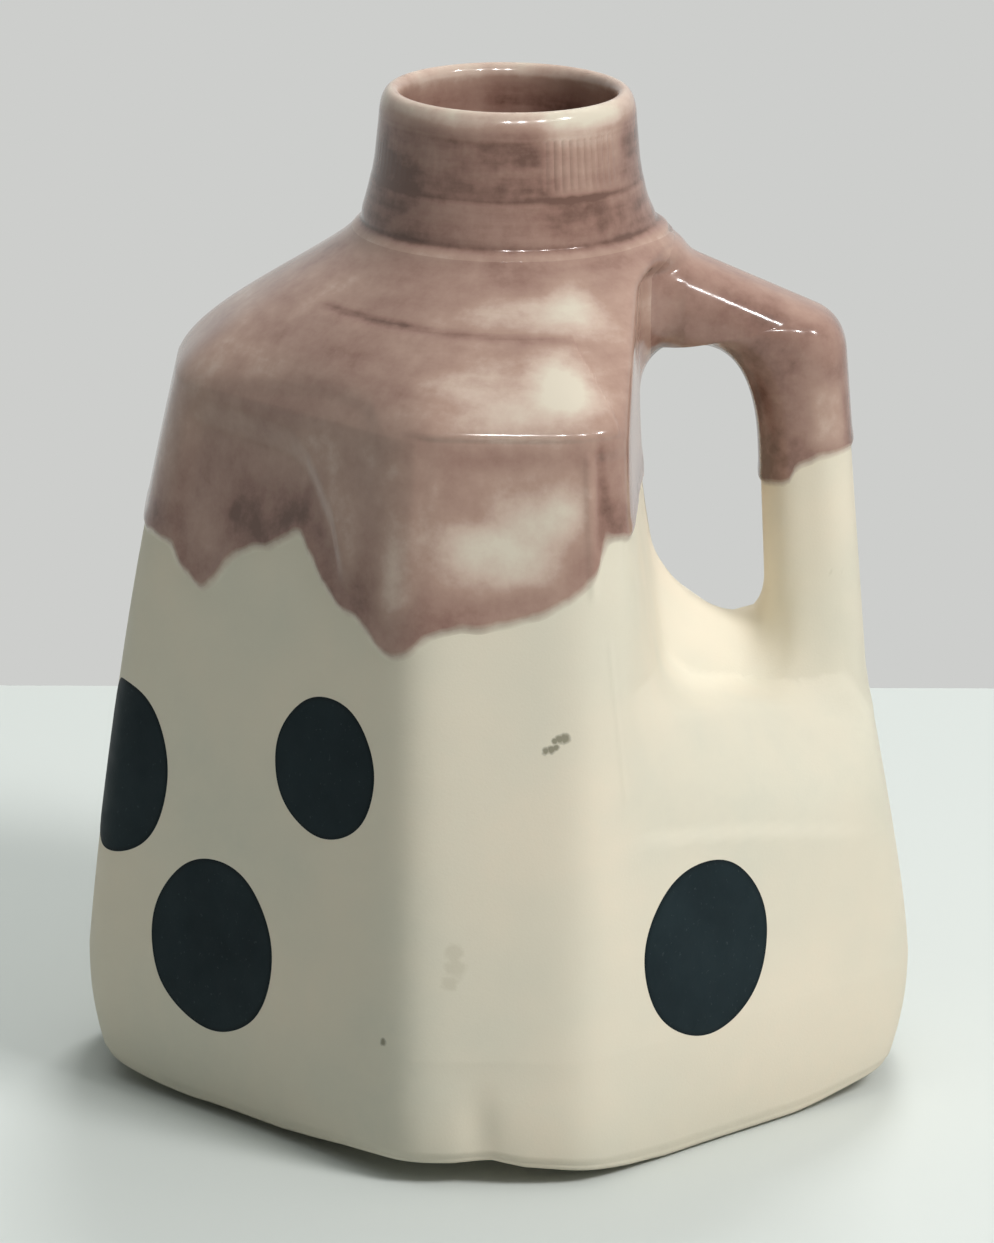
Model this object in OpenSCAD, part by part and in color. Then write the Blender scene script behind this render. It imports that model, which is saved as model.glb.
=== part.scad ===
// Slip-cast ceramic jug in the form of a square household jug with a capped neck.
// Origin at the centre of the base, +Z up, handle towards +X, front corner towards -Y.

/* [Body] */
// Half the width across two opposite corners at the widest level
body_half = 62.6; // [58:0.2:66]
// Height of the widest level, where the wall is joined to the foot
widest_z = 20; // [16:0.5:24]
// Half the width across two opposite corners at the shoulder crease
hip_half = 49.3; // [47:0.1:52]
// Height of the shoulder crease
hip_z = 110; // [107:0.5:113]
// Outward bow of the walls halfway up
belly = 1.5; // [0:0.1:3]
// Width of the flat across each corner
corner_flat = 27; // [22:0.5:32]
// Thickness of the cast wall
wall = 4; // [3:0.1:5]
// Sharpness of the edges between the faces
edge_power = 36; // [20:1:60]

/* [Foot] */
// How far the bottom edge draws in from the widest level
foot_draw = 2.2; // [0.4:0.2:4]
// Height at which the bottom edge starts to turn under
heel_z = 2.4; // [2:0.2:5]
// Lift of the bottom edge under each corner
heel_lift = 3.6; // [0.5:0.1:4.5]
// Distance from the bottom edge in to the standing ring
stand_inset = 4; // [3:0.2:7]
// Width of the standing ring
stand_w = 8; // [5:0.5:12]
// Depth of the hollow under the base
foot_hollow = 1.6; // [0.5:0.1:2.5]
// Width of the slope from the standing ring up to that hollow
hollow_slope = 4; // [2:0.5:8]
// Thickness of the floor
floor_t = 5; // [4:0.2:7]
// Radius between the floor and the inside of the wall
floor_round = 7; // [4:0.5:10]

/* [Shoulder] */
// Height of the shoulder from its crease up to the joint of the neck
shoulder_h = 21; // [18:0.5:24]
// Length over which the wall turns in at the crease
hip_round = 7.6; // [5:0.2:10]
// How far the start of the slope draws in from the line of the wall
hip_draw = 3.6; // [1:0.1:5]
// Length over which the slope turns up into the neck
collar_round = 5.4; // [4:0.2:7]

/* [Neck] */
// Outer radius of the neck above its band
neck_r = 19.6; // [19:0.1:21]
// Height of the neck above its joint
neck_h = 20.8; // [17:0.2:26]
// How far the joint of the neck stands out beyond that
collar_step = 2.9; // [2:0.1:4]
// How far the neck draws in from the band to the lip
neck_taper = 0.3; // [0.1:0.1:1]
// Thickness of the lip
lip_t = 2.9; // [2.4:0.1:3.4]
// Height of the joint ring between the shoulder and the lower groove
joint_ring_h = 3; // [2:0.2:4]
// Height of the band at the bottom of the ribbed part
band_h = 5; // [3:0.2:7]
// Depth of the grooves above and below the band
band_groove = 0.4; // [0.2:0.1:0.8]

/* [Grip recess] */
// Thickness of the flat wall behind the fingers
grip_wall = 2.9; // [2.5:0.1:4]
// Slant of the flat wall beside the handle, towards the front and back
grip_slant = 0.05; // [0:0.01:0.1]
// Height of the floor of the recess above the foot of the handle
floor_rise = 6.2; // [5:0.1:8]
// Radius between the flat wall and the floor of the recess
grip_round = 15; // [12:0.5:17]
// Height of the ledge below the recess, at the handle corner
ledge_z = 41; // [37:0.5:44]
// Rise of the ledge from the handle corner to the front and back corners
ledge_rise = 13; // [8:0.5:14]
// Depth of the step at the ledge
ledge_step = 0.8; // [0.2:0.1:1.5]
// How far the sides draw in between the ledge and the floor of the recess
dish_in = 15.5; // [12:0.5:17]
// Angle that the sides have turned towards the handle at the floor of the recess
dish_turn = 24; // [18:1:30]
// Sharpness of the edges of the recess
grip_power = 30; // [20:1:50]

/* [Handle] */
// Width of the handle from front to back
handle_w = 17; // [13:0.5:19]
// Height of the joint between the foot of the handle and the body
seat_z = 64; // [61:0.5:66]
// Depth of the handle at its foot, from its outer to its inner side
leg_t = 15; // [13:0.2:17]
// How far the handle corner draws in from the line of the other corners
corner_relief = 2.2; // [0.5:0.1:3]
// Width of bare nose left around the foot of the handle
seat_margin = 1; // [0.5:0.1:2]
// Angle over which the nose runs out into the sides of the recess
nose_flare = 12; // [8:1:16]
// How far the elbow stands out beyond the shoulder crease
elbow_out = 1.5; // [0:0.1:3]
// Height of the elbow above the shoulder crease
elbow_rise = 7.4; // [5:0.2:10]
// Depth of the handle at the elbow
elbow_t = 13.1; // [11:0.1:15]
// Length over which the outside of the elbow is rounded
elbow_round = 4.4; // [3:0.2:8]
// Distance from the joint of the neck down to the top of the arm
arm_drop = 0.2; // [0.2:0.1:3]
// Height of the arm where it leaves the body
arm_h = 17.8; // [15:0.2:20]
// Height of the inside corner of the elbow above the shoulder crease
arm_under_rise = 7.8; // [5:0.2:9]
// Length over which the inside of the elbow is rounded along the arm
arm_round = 15; // [10:0.5:16]
// Length over which the inside of the elbow is rounded along the leg
leg_round = 20; // [10:0.5:26]

/* [Glaze] */
// Thickness of the glaze coat
glaze_t = 0.4; // [0.3:0.05:0.8]
// Space kept between the clay and the coats on it
coat_gap = 0.1; // [0.05:0.05:0.2]
// Angle either side of the handle that is left bare on the wall of the recess
bare_angle = 27; // [25:0.5:32]
// Distance from the wall of the recess at which the glaze on the arm starts
arm_bare = 4.7; // [4:0.1:8]
// Length of the glaze down the leg of the handle, below the shoulder crease
handle_glaze_drop = 14; // [12:0.5:30]

/* [Spots] */
// Thickness of the painted spots
spot_t = 0.25; // [0.15:0.05:0.5]
// Diameter of the large spots
large_spot_d = 26.4; // [20:0.2:28]
// Diameter of the small spots
small_spot_d = 21; // [16:0.2:26]
// Distance along the wall of the spot on the left corner
left_corner_along = 14; // [10:0.1:18]
// Height of the spot on the left corner
left_corner_z = 50; // [45:0.5:55]
// Distance along the wall of the spot on the left face, above
left_upper_along = 14; // [10:0.1:18]
// Height of the spot on the left face, above
left_upper_z = 59.5; // [54.5:0.5:64.5]
// Distance along the wall of the spot on the left face, below
left_lower_along = -7.5; // [-11.5:0.1:-3.5]
// Height of the spot on the left face, below
left_lower_z = 27.5; // [22.5:0.5:32.5]
// Distance along the wall of the spot on the right face
right_along = -9.2; // [-13.2:0.1:-5.2]
// Height of the spot on the right face
right_z = 31.8; // [26.8:0.5:36.8]
// Distance along the wall of the spot on the back face on the left
back_left_along = -6; // [-10:0.1:-2]
// Height of the spot on the back face on the left
back_left_z = 56; // [51:0.5:61]
// Distance along the wall of the spot on the back face on the right
back_right_along = 8; // [4:0.1:12]
// Height of the spot on the back face on the right
back_right_z = 30; // [25:0.5:35]

/* [Hidden] */

bisque = [0.90, 0.87, 0.79];
glaze_pink = [0.66, 0.51, 0.47];
spot_blue = [0.09, 0.13, 0.15];

// Points round each level of the body, and round the handle and the neck
columns = 64;
handle_sides = 20;
round_fn = 96;

// Half the width across two opposite corners at the bottom edge
foot_half = body_half - foot_draw;

// Levels that the pieces share
collar_z = hip_z + shoulder_h;
floor_z = seat_z + floor_rise;
grip_top = floor_z + grip_round;

// Radii of the neck, and the flat wall of the recess in line with its bore
collar_r = neck_r + collar_step;
lip_r = neck_r - neck_taper;
bore_r = lip_r - lip_t;
grip_x = bore_r + grip_wall;

// Outer and inner sides of the handle at its foot
seat_out_x = handle_corner_at(seat_z);
seat_x = seat_out_x - leg_t;

corner_angles = [0, 90, 180, 270];
side_angles = [45, 135, 225, 315];

// Drop of the glaze edge below the shoulder crease, every 15 degrees from +X
drip_drop = [
    14, 14, 16, 22, 18, 24, 28, 22, 19, 27, 21, 28,
    22, 25, 28, 20, 25, 32, 26, 19, 15, 14, 14, 14
];
drip_step = 360 / len(drip_drop);

function lerp(a, b, t) = a + (b - a) * t;
function ease(t) = let (u = min(1, max(0, t))) u * u * (3 - 2 * u);
function total(v) = v * [for (x = v) 1];
function reversed(v) = [for (i = [len(v) - 1:-1:0]) v[i]];
function bezier(p, t) =
    pow(1 - t, 3) * p[0] + 3 * t * pow(1 - t, 2) * p[1]
    + 3 * t * t * (1 - t) * p[2] + pow(t, 3) * p[3];
function polar(t, r, z) = [r * cos(t), r * sin(t), z];
function column_angle(j) = 360 * j / columns;

// Distance from the axis to the flat of a corner, and to a side between two corners
function corner_at(z) =
    z < widest_z
        ? body_half - (body_half - foot_half) * pow(1 - z / widest_z, 2)
        : let (t = (z - widest_z) / (hip_z - widest_z))
          lerp(body_half, hip_half, t) + 4 * belly * t * (1 - t);
function side_of(a) = (a + corner_flat / 2 * min(1, a / hip_half)) / sqrt(2);
function handle_corner_at(z) =
    corner_at(z) - corner_relief * ease((z - widest_z) / (seat_z - widest_z));

// Radius of a rounded octagon, k inside its outline
function octagon(t, a, a_handle, k) =
    let (b = side_of(a))
    pow(
        total([for (c = corner_angles)
            pow(max(0, cos(t - c)) / ((c == 0 ? a_handle : a) - k), edge_power)])
        + total([for (c = side_angles) pow(max(0, cos(t - c)) / (b - k), edge_power)]),
        -1 / edge_power
    );

// Height of the ledge, which rises from the handle corner to the front and back corners
function ledge_at(t) = ledge_z + ledge_rise * (cos(t) > 0 ? abs(sin(t)) : 1);

// Distance from the axis to the flat wall of the recess, curved out to its floor
function grip_wall_x(z) =
    let (u = min(1, max(0, (z - floor_z) / grip_round)))
    grip_x + grip_round * (1 - sqrt(1 - pow(1 - u, 2)));

// Each term below grows large outside one face of the recess, k inside its outline.
// The sides of the dish start dish_clear outside the wall, and fall along a curve
// that runs on a little past the floor of the recess
dish_clear = 1;
dish_power = 1.25;
dish_end = 1.1;
function behind_fingers(t, z, k) =
    let (
        x = grip_wall_x(z) - k,
        straight = cos(t) / x,
        slanted = (cos(t) + grip_slant * abs(sin(t))) / (x + grip_slant * handle_w / 2)
    )
    z < floor_z ? 0 : pow(max(0, straight, slanted), grip_power);
function dished_sides(t, z, k) =
    let (
        low = ledge_at(t),
        v = min(dish_end, (z - low) / (floor_z - low)),
        turn = lerp(45, dish_turn, v),
        start = side_of(corner_at(low)) + dish_clear - ledge_step,
        reach = start - dish_in * pow(v, dish_power) - k
    )
    (pow(max(0, cos(t - turn)) / reach, grip_power)
    + pow(max(0, cos(t + turn)) / reach, grip_power)) / 2;
function handle_seat(t, z, k) =
    z < seat_z ? 0 : pow(max(0, cos(t)) / (seat_x - k), grip_power);
function cut(t, r, z, k, k_grip) =
    z <= ledge_at(t)
        ? r
        : pow(
            pow(r, -grip_power) + behind_fingers(t, z, k_grip)
            + dished_sides(t, z, k) + handle_seat(t, z, k),
            -1 / grip_power
        );

// Outside of the wall below the shoulder crease: whole, and cut by the recess
function whole_wall_r(t, z) = octagon(t, corner_at(z), handle_corner_at(z), 0);
function recess_wall_r(t, z) = cut(t, whole_wall_r(t, z), z, 0, 0);

// A nose of the whole wall is left under the foot of the handle, 0 on it and 1 beside it
nose_angle = atan2(handle_w / 2 + seat_margin, seat_x);
function off_nose(t) = ease((min(t, 360 - t) - nose_angle) / nose_flare);
function wall_r(t, z) =
    z > ledge_at(t) && z <= seat_z
        ? lerp(whole_wall_r(t, z), recess_wall_r(t, z), off_nose(t))
        : recess_wall_r(t, z);
function inner_wall_r(t, z) =
    cut(t, octagon(t, corner_at(z), handle_corner_at(z), wall), z + wall, wall, grip_wall);
outer_wall = function (t, z) wall_r(t, z);
inner_wall = function (t, z) inner_wall_r(t, z);

// Slope of the shoulder, from the crease at 0 to the neck at 1
collar_lean = 0.55;
collar_climb = 0.83;
round_by = 1.2;
shoulder_curve = [
    [hip_half, hip_z],
    [hip_half - hip_draw, hip_z + hip_round],
    [collar_r + collar_round * collar_lean, collar_z - collar_round * collar_climb],
    [collar_r, collar_z]
];
function shoulder_base(t, a, s, k) = lerp(octagon(t, a, a, k), a - k, ease(round_by * s));
function shoulder_z(s) = bezier(shoulder_curve, s)[1];
function shoulder_r(t, s) =
    let (p = bezier(shoulder_curve, s))
    cut(t, shoulder_base(t, p[0], s, 0), p[1], 0, 0);
function inner_shoulder_r(t, s) =
    let (p = bezier(shoulder_curve, s))
    s == 1
        ? bore_r
        : cut(t, max(bore_r, shoulder_base(t, p[0], s, wall)), p[1], wall, grip_wall);

// Faces of a loft whose rows of n points follow each other
function flat_list(v) = [for (part = v) for (x = part) x];
function turned(faces) = [for (f = faces) reversed(f)];
function quad(a, b, c, d) = [[a, b, c], [a, c, d]];
function row_faces(n, rows, closed_rows, closed_columns) = flat_list([
    for (i = [0:rows - (closed_rows ? 1 : 2)])
        for (j = [0:n - (closed_columns ? 1 : 2)])
            let (k = (i + 1) % rows, m = (j + 1) % n)
                quad(i * n + j, k * n + j, k * n + m, i * n + m)
]);
function fan(centre, first, n) = [for (j = [0:n - 1]) [centre, first + j, first + (j + 1) % n]];

// A tube whose section runs up its outer levels and back down its inner ones
module shell(levels) {
    polyhedron(flat_list(levels), row_faces(columns, len(levels), true, true));
}

// A closed solid of levels with a point below the first and one above the last
module capped(levels, n, first_point, last_point) {
    count = n * len(levels);
    polyhedron(
        concat(flat_list(levels), [first_point, last_point]),
        concat(
            row_faces(n, len(levels), false, true),
            fan(count, 0, n),
            turned(fan(count + 1, count - n, n))
        )
    );
}

// A thin coat: rows over its outside, the same rows over its inside, and its rim
module coat(outer, inner) {
    n = len(outer[0]);
    rows = len(outer);
    under = n * rows;
    skin = row_faces(n, rows, false, false);
    top = n * (rows - 1);
    function lower(i) = i + under;
    function rim(a, b) = quad(lower(a), a, b, lower(b));
    across = flat_list([for (j = [0:n - 2]) concat(rim(j, j + 1), turned(rim(top + j, top + j + 1)))]);
    up = flat_list([
        for (i = [0:rows - 2])
            let (a = i * n, b = a + n)
                concat(turned(rim(a, b)), rim(a + n - 1, b + n - 1))
    ]);
    lining = turned([for (f = skin) [for (i = f) lower(i)]]);
    polyhedron(concat(flat_list(outer), flat_list(inner)), concat(skin, lining, across, up));
}

// One level of points: its height and its radius are functions of the angle
function level(radius, height) = [
    for (j = [0:columns - 1])
        let (t = column_angle(j), z = height(t))
            polar(t, radius(t, z), z)
];
function flat_level(radius, z) = level(radius, function (t) z);

// Foot: bottom edge, standing ring, hollow underside and floor. The corners are lifted
// over an angle either side of them, less and less up to lift_top
lift_reach = 34;
lift_top = 14;
function lift(t) =
    let (
        off = min([for (c = [0:90:360]) abs(t - c)]) / lift_reach,
        u = max(0, 1 - off * off)
    )
    heel_lift * u * u;
function foot_level(a, z, lifted) =
    level(function (t, h) octagon(t, a, a, 0), function (t) z + lifted * lift(t));
function lifted_level(a, z) = foot_level(a, z, max(0, 1 - z / lift_top));
module foot() {
    stand_out = foot_half - stand_inset;
    stand_in = stand_out - stand_w;
    inside = body_half - wall;
    edge_z = heel_z / 5;
    edge_half = lerp(stand_out, foot_half, 0.75);
    heel_levels = [heel_z * 0.8, heel_z * 2, lift_top];
    floor_turns = [66, 33, 0];
    color(bisque)
        capped(
            concat(
                [
                    foot_level(stand_in - hollow_slope, foot_hollow, 0),
                    foot_level(stand_in, 0, 0),
                    lifted_level(stand_out, 0),
                    lifted_level(edge_half, edge_z)
                ],
                [for (z = heel_levels) lifted_level(corner_at(z), z)],
                [flat_level(outer_wall, widest_z), flat_level(inner_wall, widest_z)],
                [for (a = floor_turns)
                    foot_level(inside - floor_round * (1 - sin(a)),
                        floor_t + floor_round * (1 - cos(a)), 0)]
            ),
            columns, [0, 0, foot_hollow], [0, 0, floor_t]
        );
}

// Body wall: four sides, four corners and the grip recess. Its levels leave a small gap
// at the ledge and at the floor of the recess, where the outline steps
ledge_gap = 0.6;
floor_gap = 0.3;
seat_drop = 2.5;
seat_spread = 0.8;
module body_wall() {
    below_ledge = [0, 0.35, 0.7, 1];
    above_ledge = [0, 0.33, 0.66, 1];
    up_the_wall = [0.01, 0.06, 0.15, 0.3, 0.55, 1];
    down_the_inside = [0.4, 0.12, 0.02];
    inside_dish = [0.6, 0];
    inside_ledge = [1, 0.5, 0];
    outside = concat(
        [for (f = below_ledge)
            level(outer_wall, function (t) lerp(widest_z, ledge_at(t) - ledge_gap, f))],
        [for (f = above_ledge)
            level(outer_wall, function (t) lerp(ledge_at(t) + ledge_gap, seat_z - seat_drop, f))],
        [
            level(function (t, z) wall_r(t, seat_z),
                function (t) seat_z - seat_spread * off_nose(t)),
            level(function (t, z) recess_wall_r(t, seat_z),
                function (t) seat_z + seat_spread * off_nose(t)),
            flat_level(outer_wall, (seat_z + floor_z) / 2),
            flat_level(outer_wall, floor_z - floor_gap)
        ],
        [for (f = up_the_wall) flat_level(outer_wall, floor_z + grip_round * f)],
        [flat_level(outer_wall, (grip_top + hip_z) / 2), flat_level(outer_wall, hip_z)]
    );
    inside = concat(
        [flat_level(inner_wall, hip_z), flat_level(inner_wall, grip_top)],
        [for (f = down_the_inside) flat_level(inner_wall, floor_z - wall + grip_round * f)],
        [
            flat_level(inner_wall, floor_z - wall - floor_gap),
            flat_level(inner_wall, seat_z - wall + floor_gap),
            flat_level(inner_wall, seat_z - wall - floor_gap)
        ],
        [for (f = inside_dish)
            level(inner_wall, function (t) lerp(ledge_at(t) - wall + ledge_gap, seat_z - wall, f))],
        [for (f = inside_ledge)
            level(inner_wall, function (t) lerp(widest_z, ledge_at(t) - wall - ledge_gap, f))]
    );
    color(bisque)
        shell(concat(outside, inside));
}

// Shoulder: from the crease up to the round seat of the neck
shoulder_steps = 10;
module shoulder() {
    outside = [for (i = [0:shoulder_steps])
        let (s = i / shoulder_steps)
            flat_level(function (t, z) shoulder_r(t, s), shoulder_z(s))];
    inside = [for (i = [shoulder_steps:-2:2])
        let (s = i / shoulder_steps)
            flat_level(function (t, z) inner_shoulder_r(t, s), shoulder_z(s))];
    color(bisque)
        shell(concat(outside, inside, [flat_level(inner_wall, hip_z)]));
}

// Section of the neck, k outside its clay: joint ring, groove, band, ribbed part and lip
ring_draw = 0.3;
ring_top_out = 2;
low_groove_h = 1;
high_groove_h = 0.45;
band_foot_out = 1.3;
band_top_out = 0.5;
lip_steps = 8;
function neck_outline(k) =
    let (
        ring_top = collar_z + joint_ring_h,
        band_top = ring_top + band_h,
        lip_round = lip_t / 2,
        lip_z = collar_z + neck_h - lip_round
    )
    concat(
        [
            [collar_r + k, collar_z],
            [collar_r - ring_draw + k, collar_z + joint_ring_h * 0.4],
            [neck_r + ring_top_out + k, collar_z + joint_ring_h * 0.75],
            [neck_r + band_foot_out - band_groove + k, ring_top],
            [neck_r + band_foot_out + k, ring_top + low_groove_h],
            [neck_r + band_top_out + k, band_top],
            [neck_r + band_top_out - band_groove + k, band_top + high_groove_h],
            [neck_r + k, band_top + high_groove_h * 2],
        ],
        [for (i = [0:lip_steps])
            let (t = 180 * i / lip_steps)
                [bore_r + lip_round + (lip_round + k) * cos(t), lip_z + (lip_round + k) * sin(t)]],
        [[bore_r - k, collar_z]]
    );
module neck_collar() {
    color(bisque)
        rotate_extrude($fn = round_fn)
            polygon(neck_outline(0));
}

// Handle: its outer and inner lines run along the arm from 0, round the elbow from 1
// and down the leg from 2 to 3, and each station between them has a rounded section
arm_stations = 4;
elbow_stations = 7;
leg_stations = 6;
section_power = 0.75;
arm_top_z = collar_z - arm_drop;
elbow_x = hip_half + elbow_out;
outer_line = [
    [grip_x, arm_top_z], [elbow_x, hip_z + elbow_rise], [seat_out_x, seat_z],
    elbow_round, elbow_round
];
inner_line = [
    [grip_x, arm_top_z - arm_h], [elbow_x - elbow_t, hip_z + arm_under_rise], [seat_x, seat_z],
    arm_round, leg_round
];
function on_line(line, u) =
    let (
        a = line[0],
        corner = line[1],
        b = line[2],
        p = corner + line[3] * (a - corner) / norm(a - corner),
        q = corner + line[4] * (b - corner) / norm(b - corner),
        t = u - 1
    )
    u < 1 ? lerp(a, p, u)
        : u > 2 ? lerp(q, b, u - 2)
        : pow(1 - t, 2) * p + 2 * t * (1 - t) * corner + t * t * q;
function bulge(v) = sign(v) * pow(abs(v), section_power);
function station(u, k) =
    let (
        out = on_line(outer_line, u),
        in = on_line(inner_line, u),
        half = (out - in) / 2
    )
    [for (j = [0:handle_sides - 1])
        let (
            t = 360 * j / handle_sides,
            p = in + half + half * (1 + k / norm(half)) * bulge(cos(t))
        )
        [p[0], -(handle_w / 2 + k) * bulge(sin(t)), p[1]]];
function centre(points) = [for (i = [0:2]) total([for (p = points) p[i]]) / len(points)];
module handle() {
    stops = concat(
        [for (i = [0:arm_stations - 1]) i / arm_stations],
        [for (i = [0:elbow_stations - 1]) 1 + i / elbow_stations],
        [for (i = [0:leg_stations]) 2 + i / leg_stations]
    );
    rows = [for (u = stops) station(u, 0)];
    color(bisque)
        capped(rows, handle_sides, centre(rows[0]), centre(rows[len(rows) - 1]));
}

// Glaze on the neck, outside, over the lip and down the bore
module neck_glaze() {
    color(glaze_pink)
        rotate_extrude($fn = round_fn)
            polygon(concat(neck_outline(coat_gap + glaze_t), reversed(neck_outline(coat_gap))));
}

// Glaze on the shoulder and upper wall, down to its wavy edge
glaze_wall_rows = 4;
function drip_z(t) =
    let (
        i = floor(t / drip_step),
        a = drip_drop[i % len(drip_drop)],
        b = drip_drop[(i + 1) % len(drip_drop)]
    )
    hip_z - lerp(a, b, ease(t / drip_step - i));
module shoulder_glaze() {
    angles = [for (j = [0:columns - 1])
        let (t = column_angle(j))
            if (t > bare_angle && t < 360 - bare_angle) t];
    function wall_row(v, k) = [
        for (t = angles)
            let (z = lerp(drip_z(t), hip_z, v))
                polar(t, recess_wall_r(t, z) + k, z)
    ];
    function top_row(s, k) = [
        for (t = angles) polar(t, shoulder_r(t, s) + k * (1 + s), shoulder_z(s))
    ];
    function rows(k) = concat(
        [for (i = [0:glaze_wall_rows - 1]) wall_row(i / glaze_wall_rows, k)],
        [for (i = [0:shoulder_steps]) top_row(i / shoulder_steps, k)]
    );
    color(glaze_pink)
        coat(rows(coat_gap + glaze_t), rows(coat_gap));
}

// Glaze on the arm and the upper part of the handle
arm_glaze_steps = 3;
module handle_glaze() {
    from = arm_bare / (on_line(outer_line, 1)[0] - grip_x);
    leg_top = on_line(inner_line, 2)[1];
    to = 2 + (leg_top - hip_z + handle_glaze_drop) / (leg_top - seat_z);
    stops = concat(
        [for (i = [0:arm_glaze_steps - 1]) lerp(from, 1, i / arm_glaze_steps)],
        [for (i = [0:elbow_stations - 1]) 1 + i / elbow_stations],
        [2, to]
    );
    function rows(k) = [for (u = stops) station(u, k)];
    loop = concat(rows(coat_gap + glaze_t), reversed(rows(coat_gap)));
    color(glaze_pink)
        polyhedron(flat_list(loop), row_faces(handle_sides, len(loop), true, true));
}

// A painted spot laid on the flats between the columns of the wall, in strips that rise
// and fall with its round edge, at a distance along the face that looks towards angle
strip_turn = 360 / columns / 2;
strip_rows = [-1, -0.6, -0.2, 0.2, 0.6, 1];
function flat_r(t, z) =
    let (
        a = column_angle(floor(t / 360 * columns)),
        b = a + 360 / columns,
        r = recess_wall_r(a, z),
        q = recess_wall_r(b, z)
    )
    r * q * sin(b - a) / (r * sin(t - a) + q * sin(b - t));
module spot(angle, along, z, d) {
    face = recess_wall_r(angle, z);
    left = angle + atan2(along - d / 2, face);
    right = angle + atan2(along + d / 2, face);
    function half_height(t) = sqrt(pow(d / 2, 2) - pow(face * tan(t - angle) - along, 2));
    function point(t, row, k) =
        let (level_z = z + row * half_height(t))
        polar(t, flat_r(t, level_z) + k, level_z);
    function strip(t) = concat(
        [for (row = strip_rows) point(t, row, coat_gap)],
        [for (row = reversed(strip_rows)) point(t, row, coat_gap + spot_t)]
    );
    function end(t) = polar(t, flat_r(t, z) + coat_gap + spot_t / 2, z);
    first = ceil(left / strip_turn + 0.1);
    last = floor(right / strip_turn - 0.1);
    color(spot_blue)
        capped(
            [for (i = [first:last]) strip(i * strip_turn)],
            2 * len(strip_rows), end(left), end(right)
        );
}
module spot_left_corner() { spot(180, left_corner_along, left_corner_z, large_spot_d); }
module spot_left_upper() { spot(225, left_upper_along, left_upper_z, small_spot_d); }
module spot_left_lower() { spot(225, left_lower_along, left_lower_z, large_spot_d); }
module spot_right() { spot(315, right_along, right_z, large_spot_d); }
module spot_back_left() { spot(135, back_left_along, back_left_z, small_spot_d); }
module spot_back_right() { spot(45, back_right_along, back_right_z, large_spot_d); }

foot();
body_wall();
shoulder();
neck_collar();
handle();
neck_glaze();
shoulder_glaze();
handle_glaze();
spot_left_corner();
spot_left_upper();
spot_left_lower();
spot_right();
spot_back_left();
spot_back_right();
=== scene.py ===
"""Slip-cast ceramic jug: bare clay below, a thin dripped glaze above and painted round spots.

Shapes are worked out in millimetres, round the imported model's own levels, and made in metres.
Angles are in degrees round the jug: 0 at the handle, 270 at the front corner.
"""
import math

import bpy
import numpy as np
from mathutils import Matrix, Vector


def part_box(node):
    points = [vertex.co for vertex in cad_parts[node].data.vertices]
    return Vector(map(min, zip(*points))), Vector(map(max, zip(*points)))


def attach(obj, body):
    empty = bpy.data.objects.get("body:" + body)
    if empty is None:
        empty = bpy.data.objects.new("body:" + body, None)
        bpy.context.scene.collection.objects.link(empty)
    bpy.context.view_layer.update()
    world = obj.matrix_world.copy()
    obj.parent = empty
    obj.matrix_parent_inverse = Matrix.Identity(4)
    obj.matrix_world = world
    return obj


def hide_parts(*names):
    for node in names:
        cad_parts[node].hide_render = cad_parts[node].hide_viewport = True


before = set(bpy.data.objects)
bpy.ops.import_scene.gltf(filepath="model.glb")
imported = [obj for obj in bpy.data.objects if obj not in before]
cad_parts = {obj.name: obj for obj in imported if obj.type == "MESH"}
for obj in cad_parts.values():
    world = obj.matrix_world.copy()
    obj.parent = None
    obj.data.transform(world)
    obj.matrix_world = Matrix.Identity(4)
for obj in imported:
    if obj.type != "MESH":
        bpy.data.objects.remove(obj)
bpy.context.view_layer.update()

MM = 0.001


def box_mm(node):
    """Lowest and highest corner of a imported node, in millimetres."""
    low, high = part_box(node)
    return np.array(low) / MM, np.array(high) / MM


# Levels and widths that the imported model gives
WIDEST_Z = box_mm("foot")[1][2]
HIP_Z = box_mm("body_wall")[1][2]
COLLAR_Z = box_mm("shoulder")[1][2]
LIP_Z = box_mm("neck_collar")[1][2] + 0.4  # with the swell of its round lip
SEAT_Z = box_mm("handle")[0][2]
GRIP_X = box_mm("handle")[0][0]
ARM_TOP_Z = box_mm("handle")[1][2]
HANDLE_HALF_W = box_mm("handle")[1][1]
COLLAR_R = box_mm("neck_collar")[1][0]
BODY_HALF = box_mm("body_wall")[1][1]

# Body
HIP_HALF = 49.3
BELLY = 1.5
CORNER_FLAT = 27
EDGE_POWER = 36
CREASE_POWER = 24
WALL = 4

# Foot
FOOT_DRAW = 2.8
EDGE_Z = 0.4
EDGE_ROUND = 1.3
HEEL_LIFT = 3.6
LIFT_REACH = 34
LIFT_TOP = 14
FRONT = (205, 315)
FRONT_FADE = 30
TOE = 2.6
TOE_AT = 264
TOE_TURN = 24
STAND_INSET = 9
STAND_W = 8
HOLLOW = 1.6
HOLLOW_SLOPE = 4
FLOOR_T = 5
FLOOR_ROUND = 7

# Lift of the edge of the foot along its front, with a small notch: angle, lift
FRONT_LIFT = [
    (190, 0), (205, 1.0), (215, 1.3), (232, 1.3), (240, 1.9), (247, 2.6), (253, 3.0), (260, 3.1),
    (264, 3.2), (267, 3.5), (269.5, 3.7), (271.5, 3.2), (274, 2.6), (278, 2.2), (284, 1.4), (290, 0.6),
    (298, 0),
]

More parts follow.
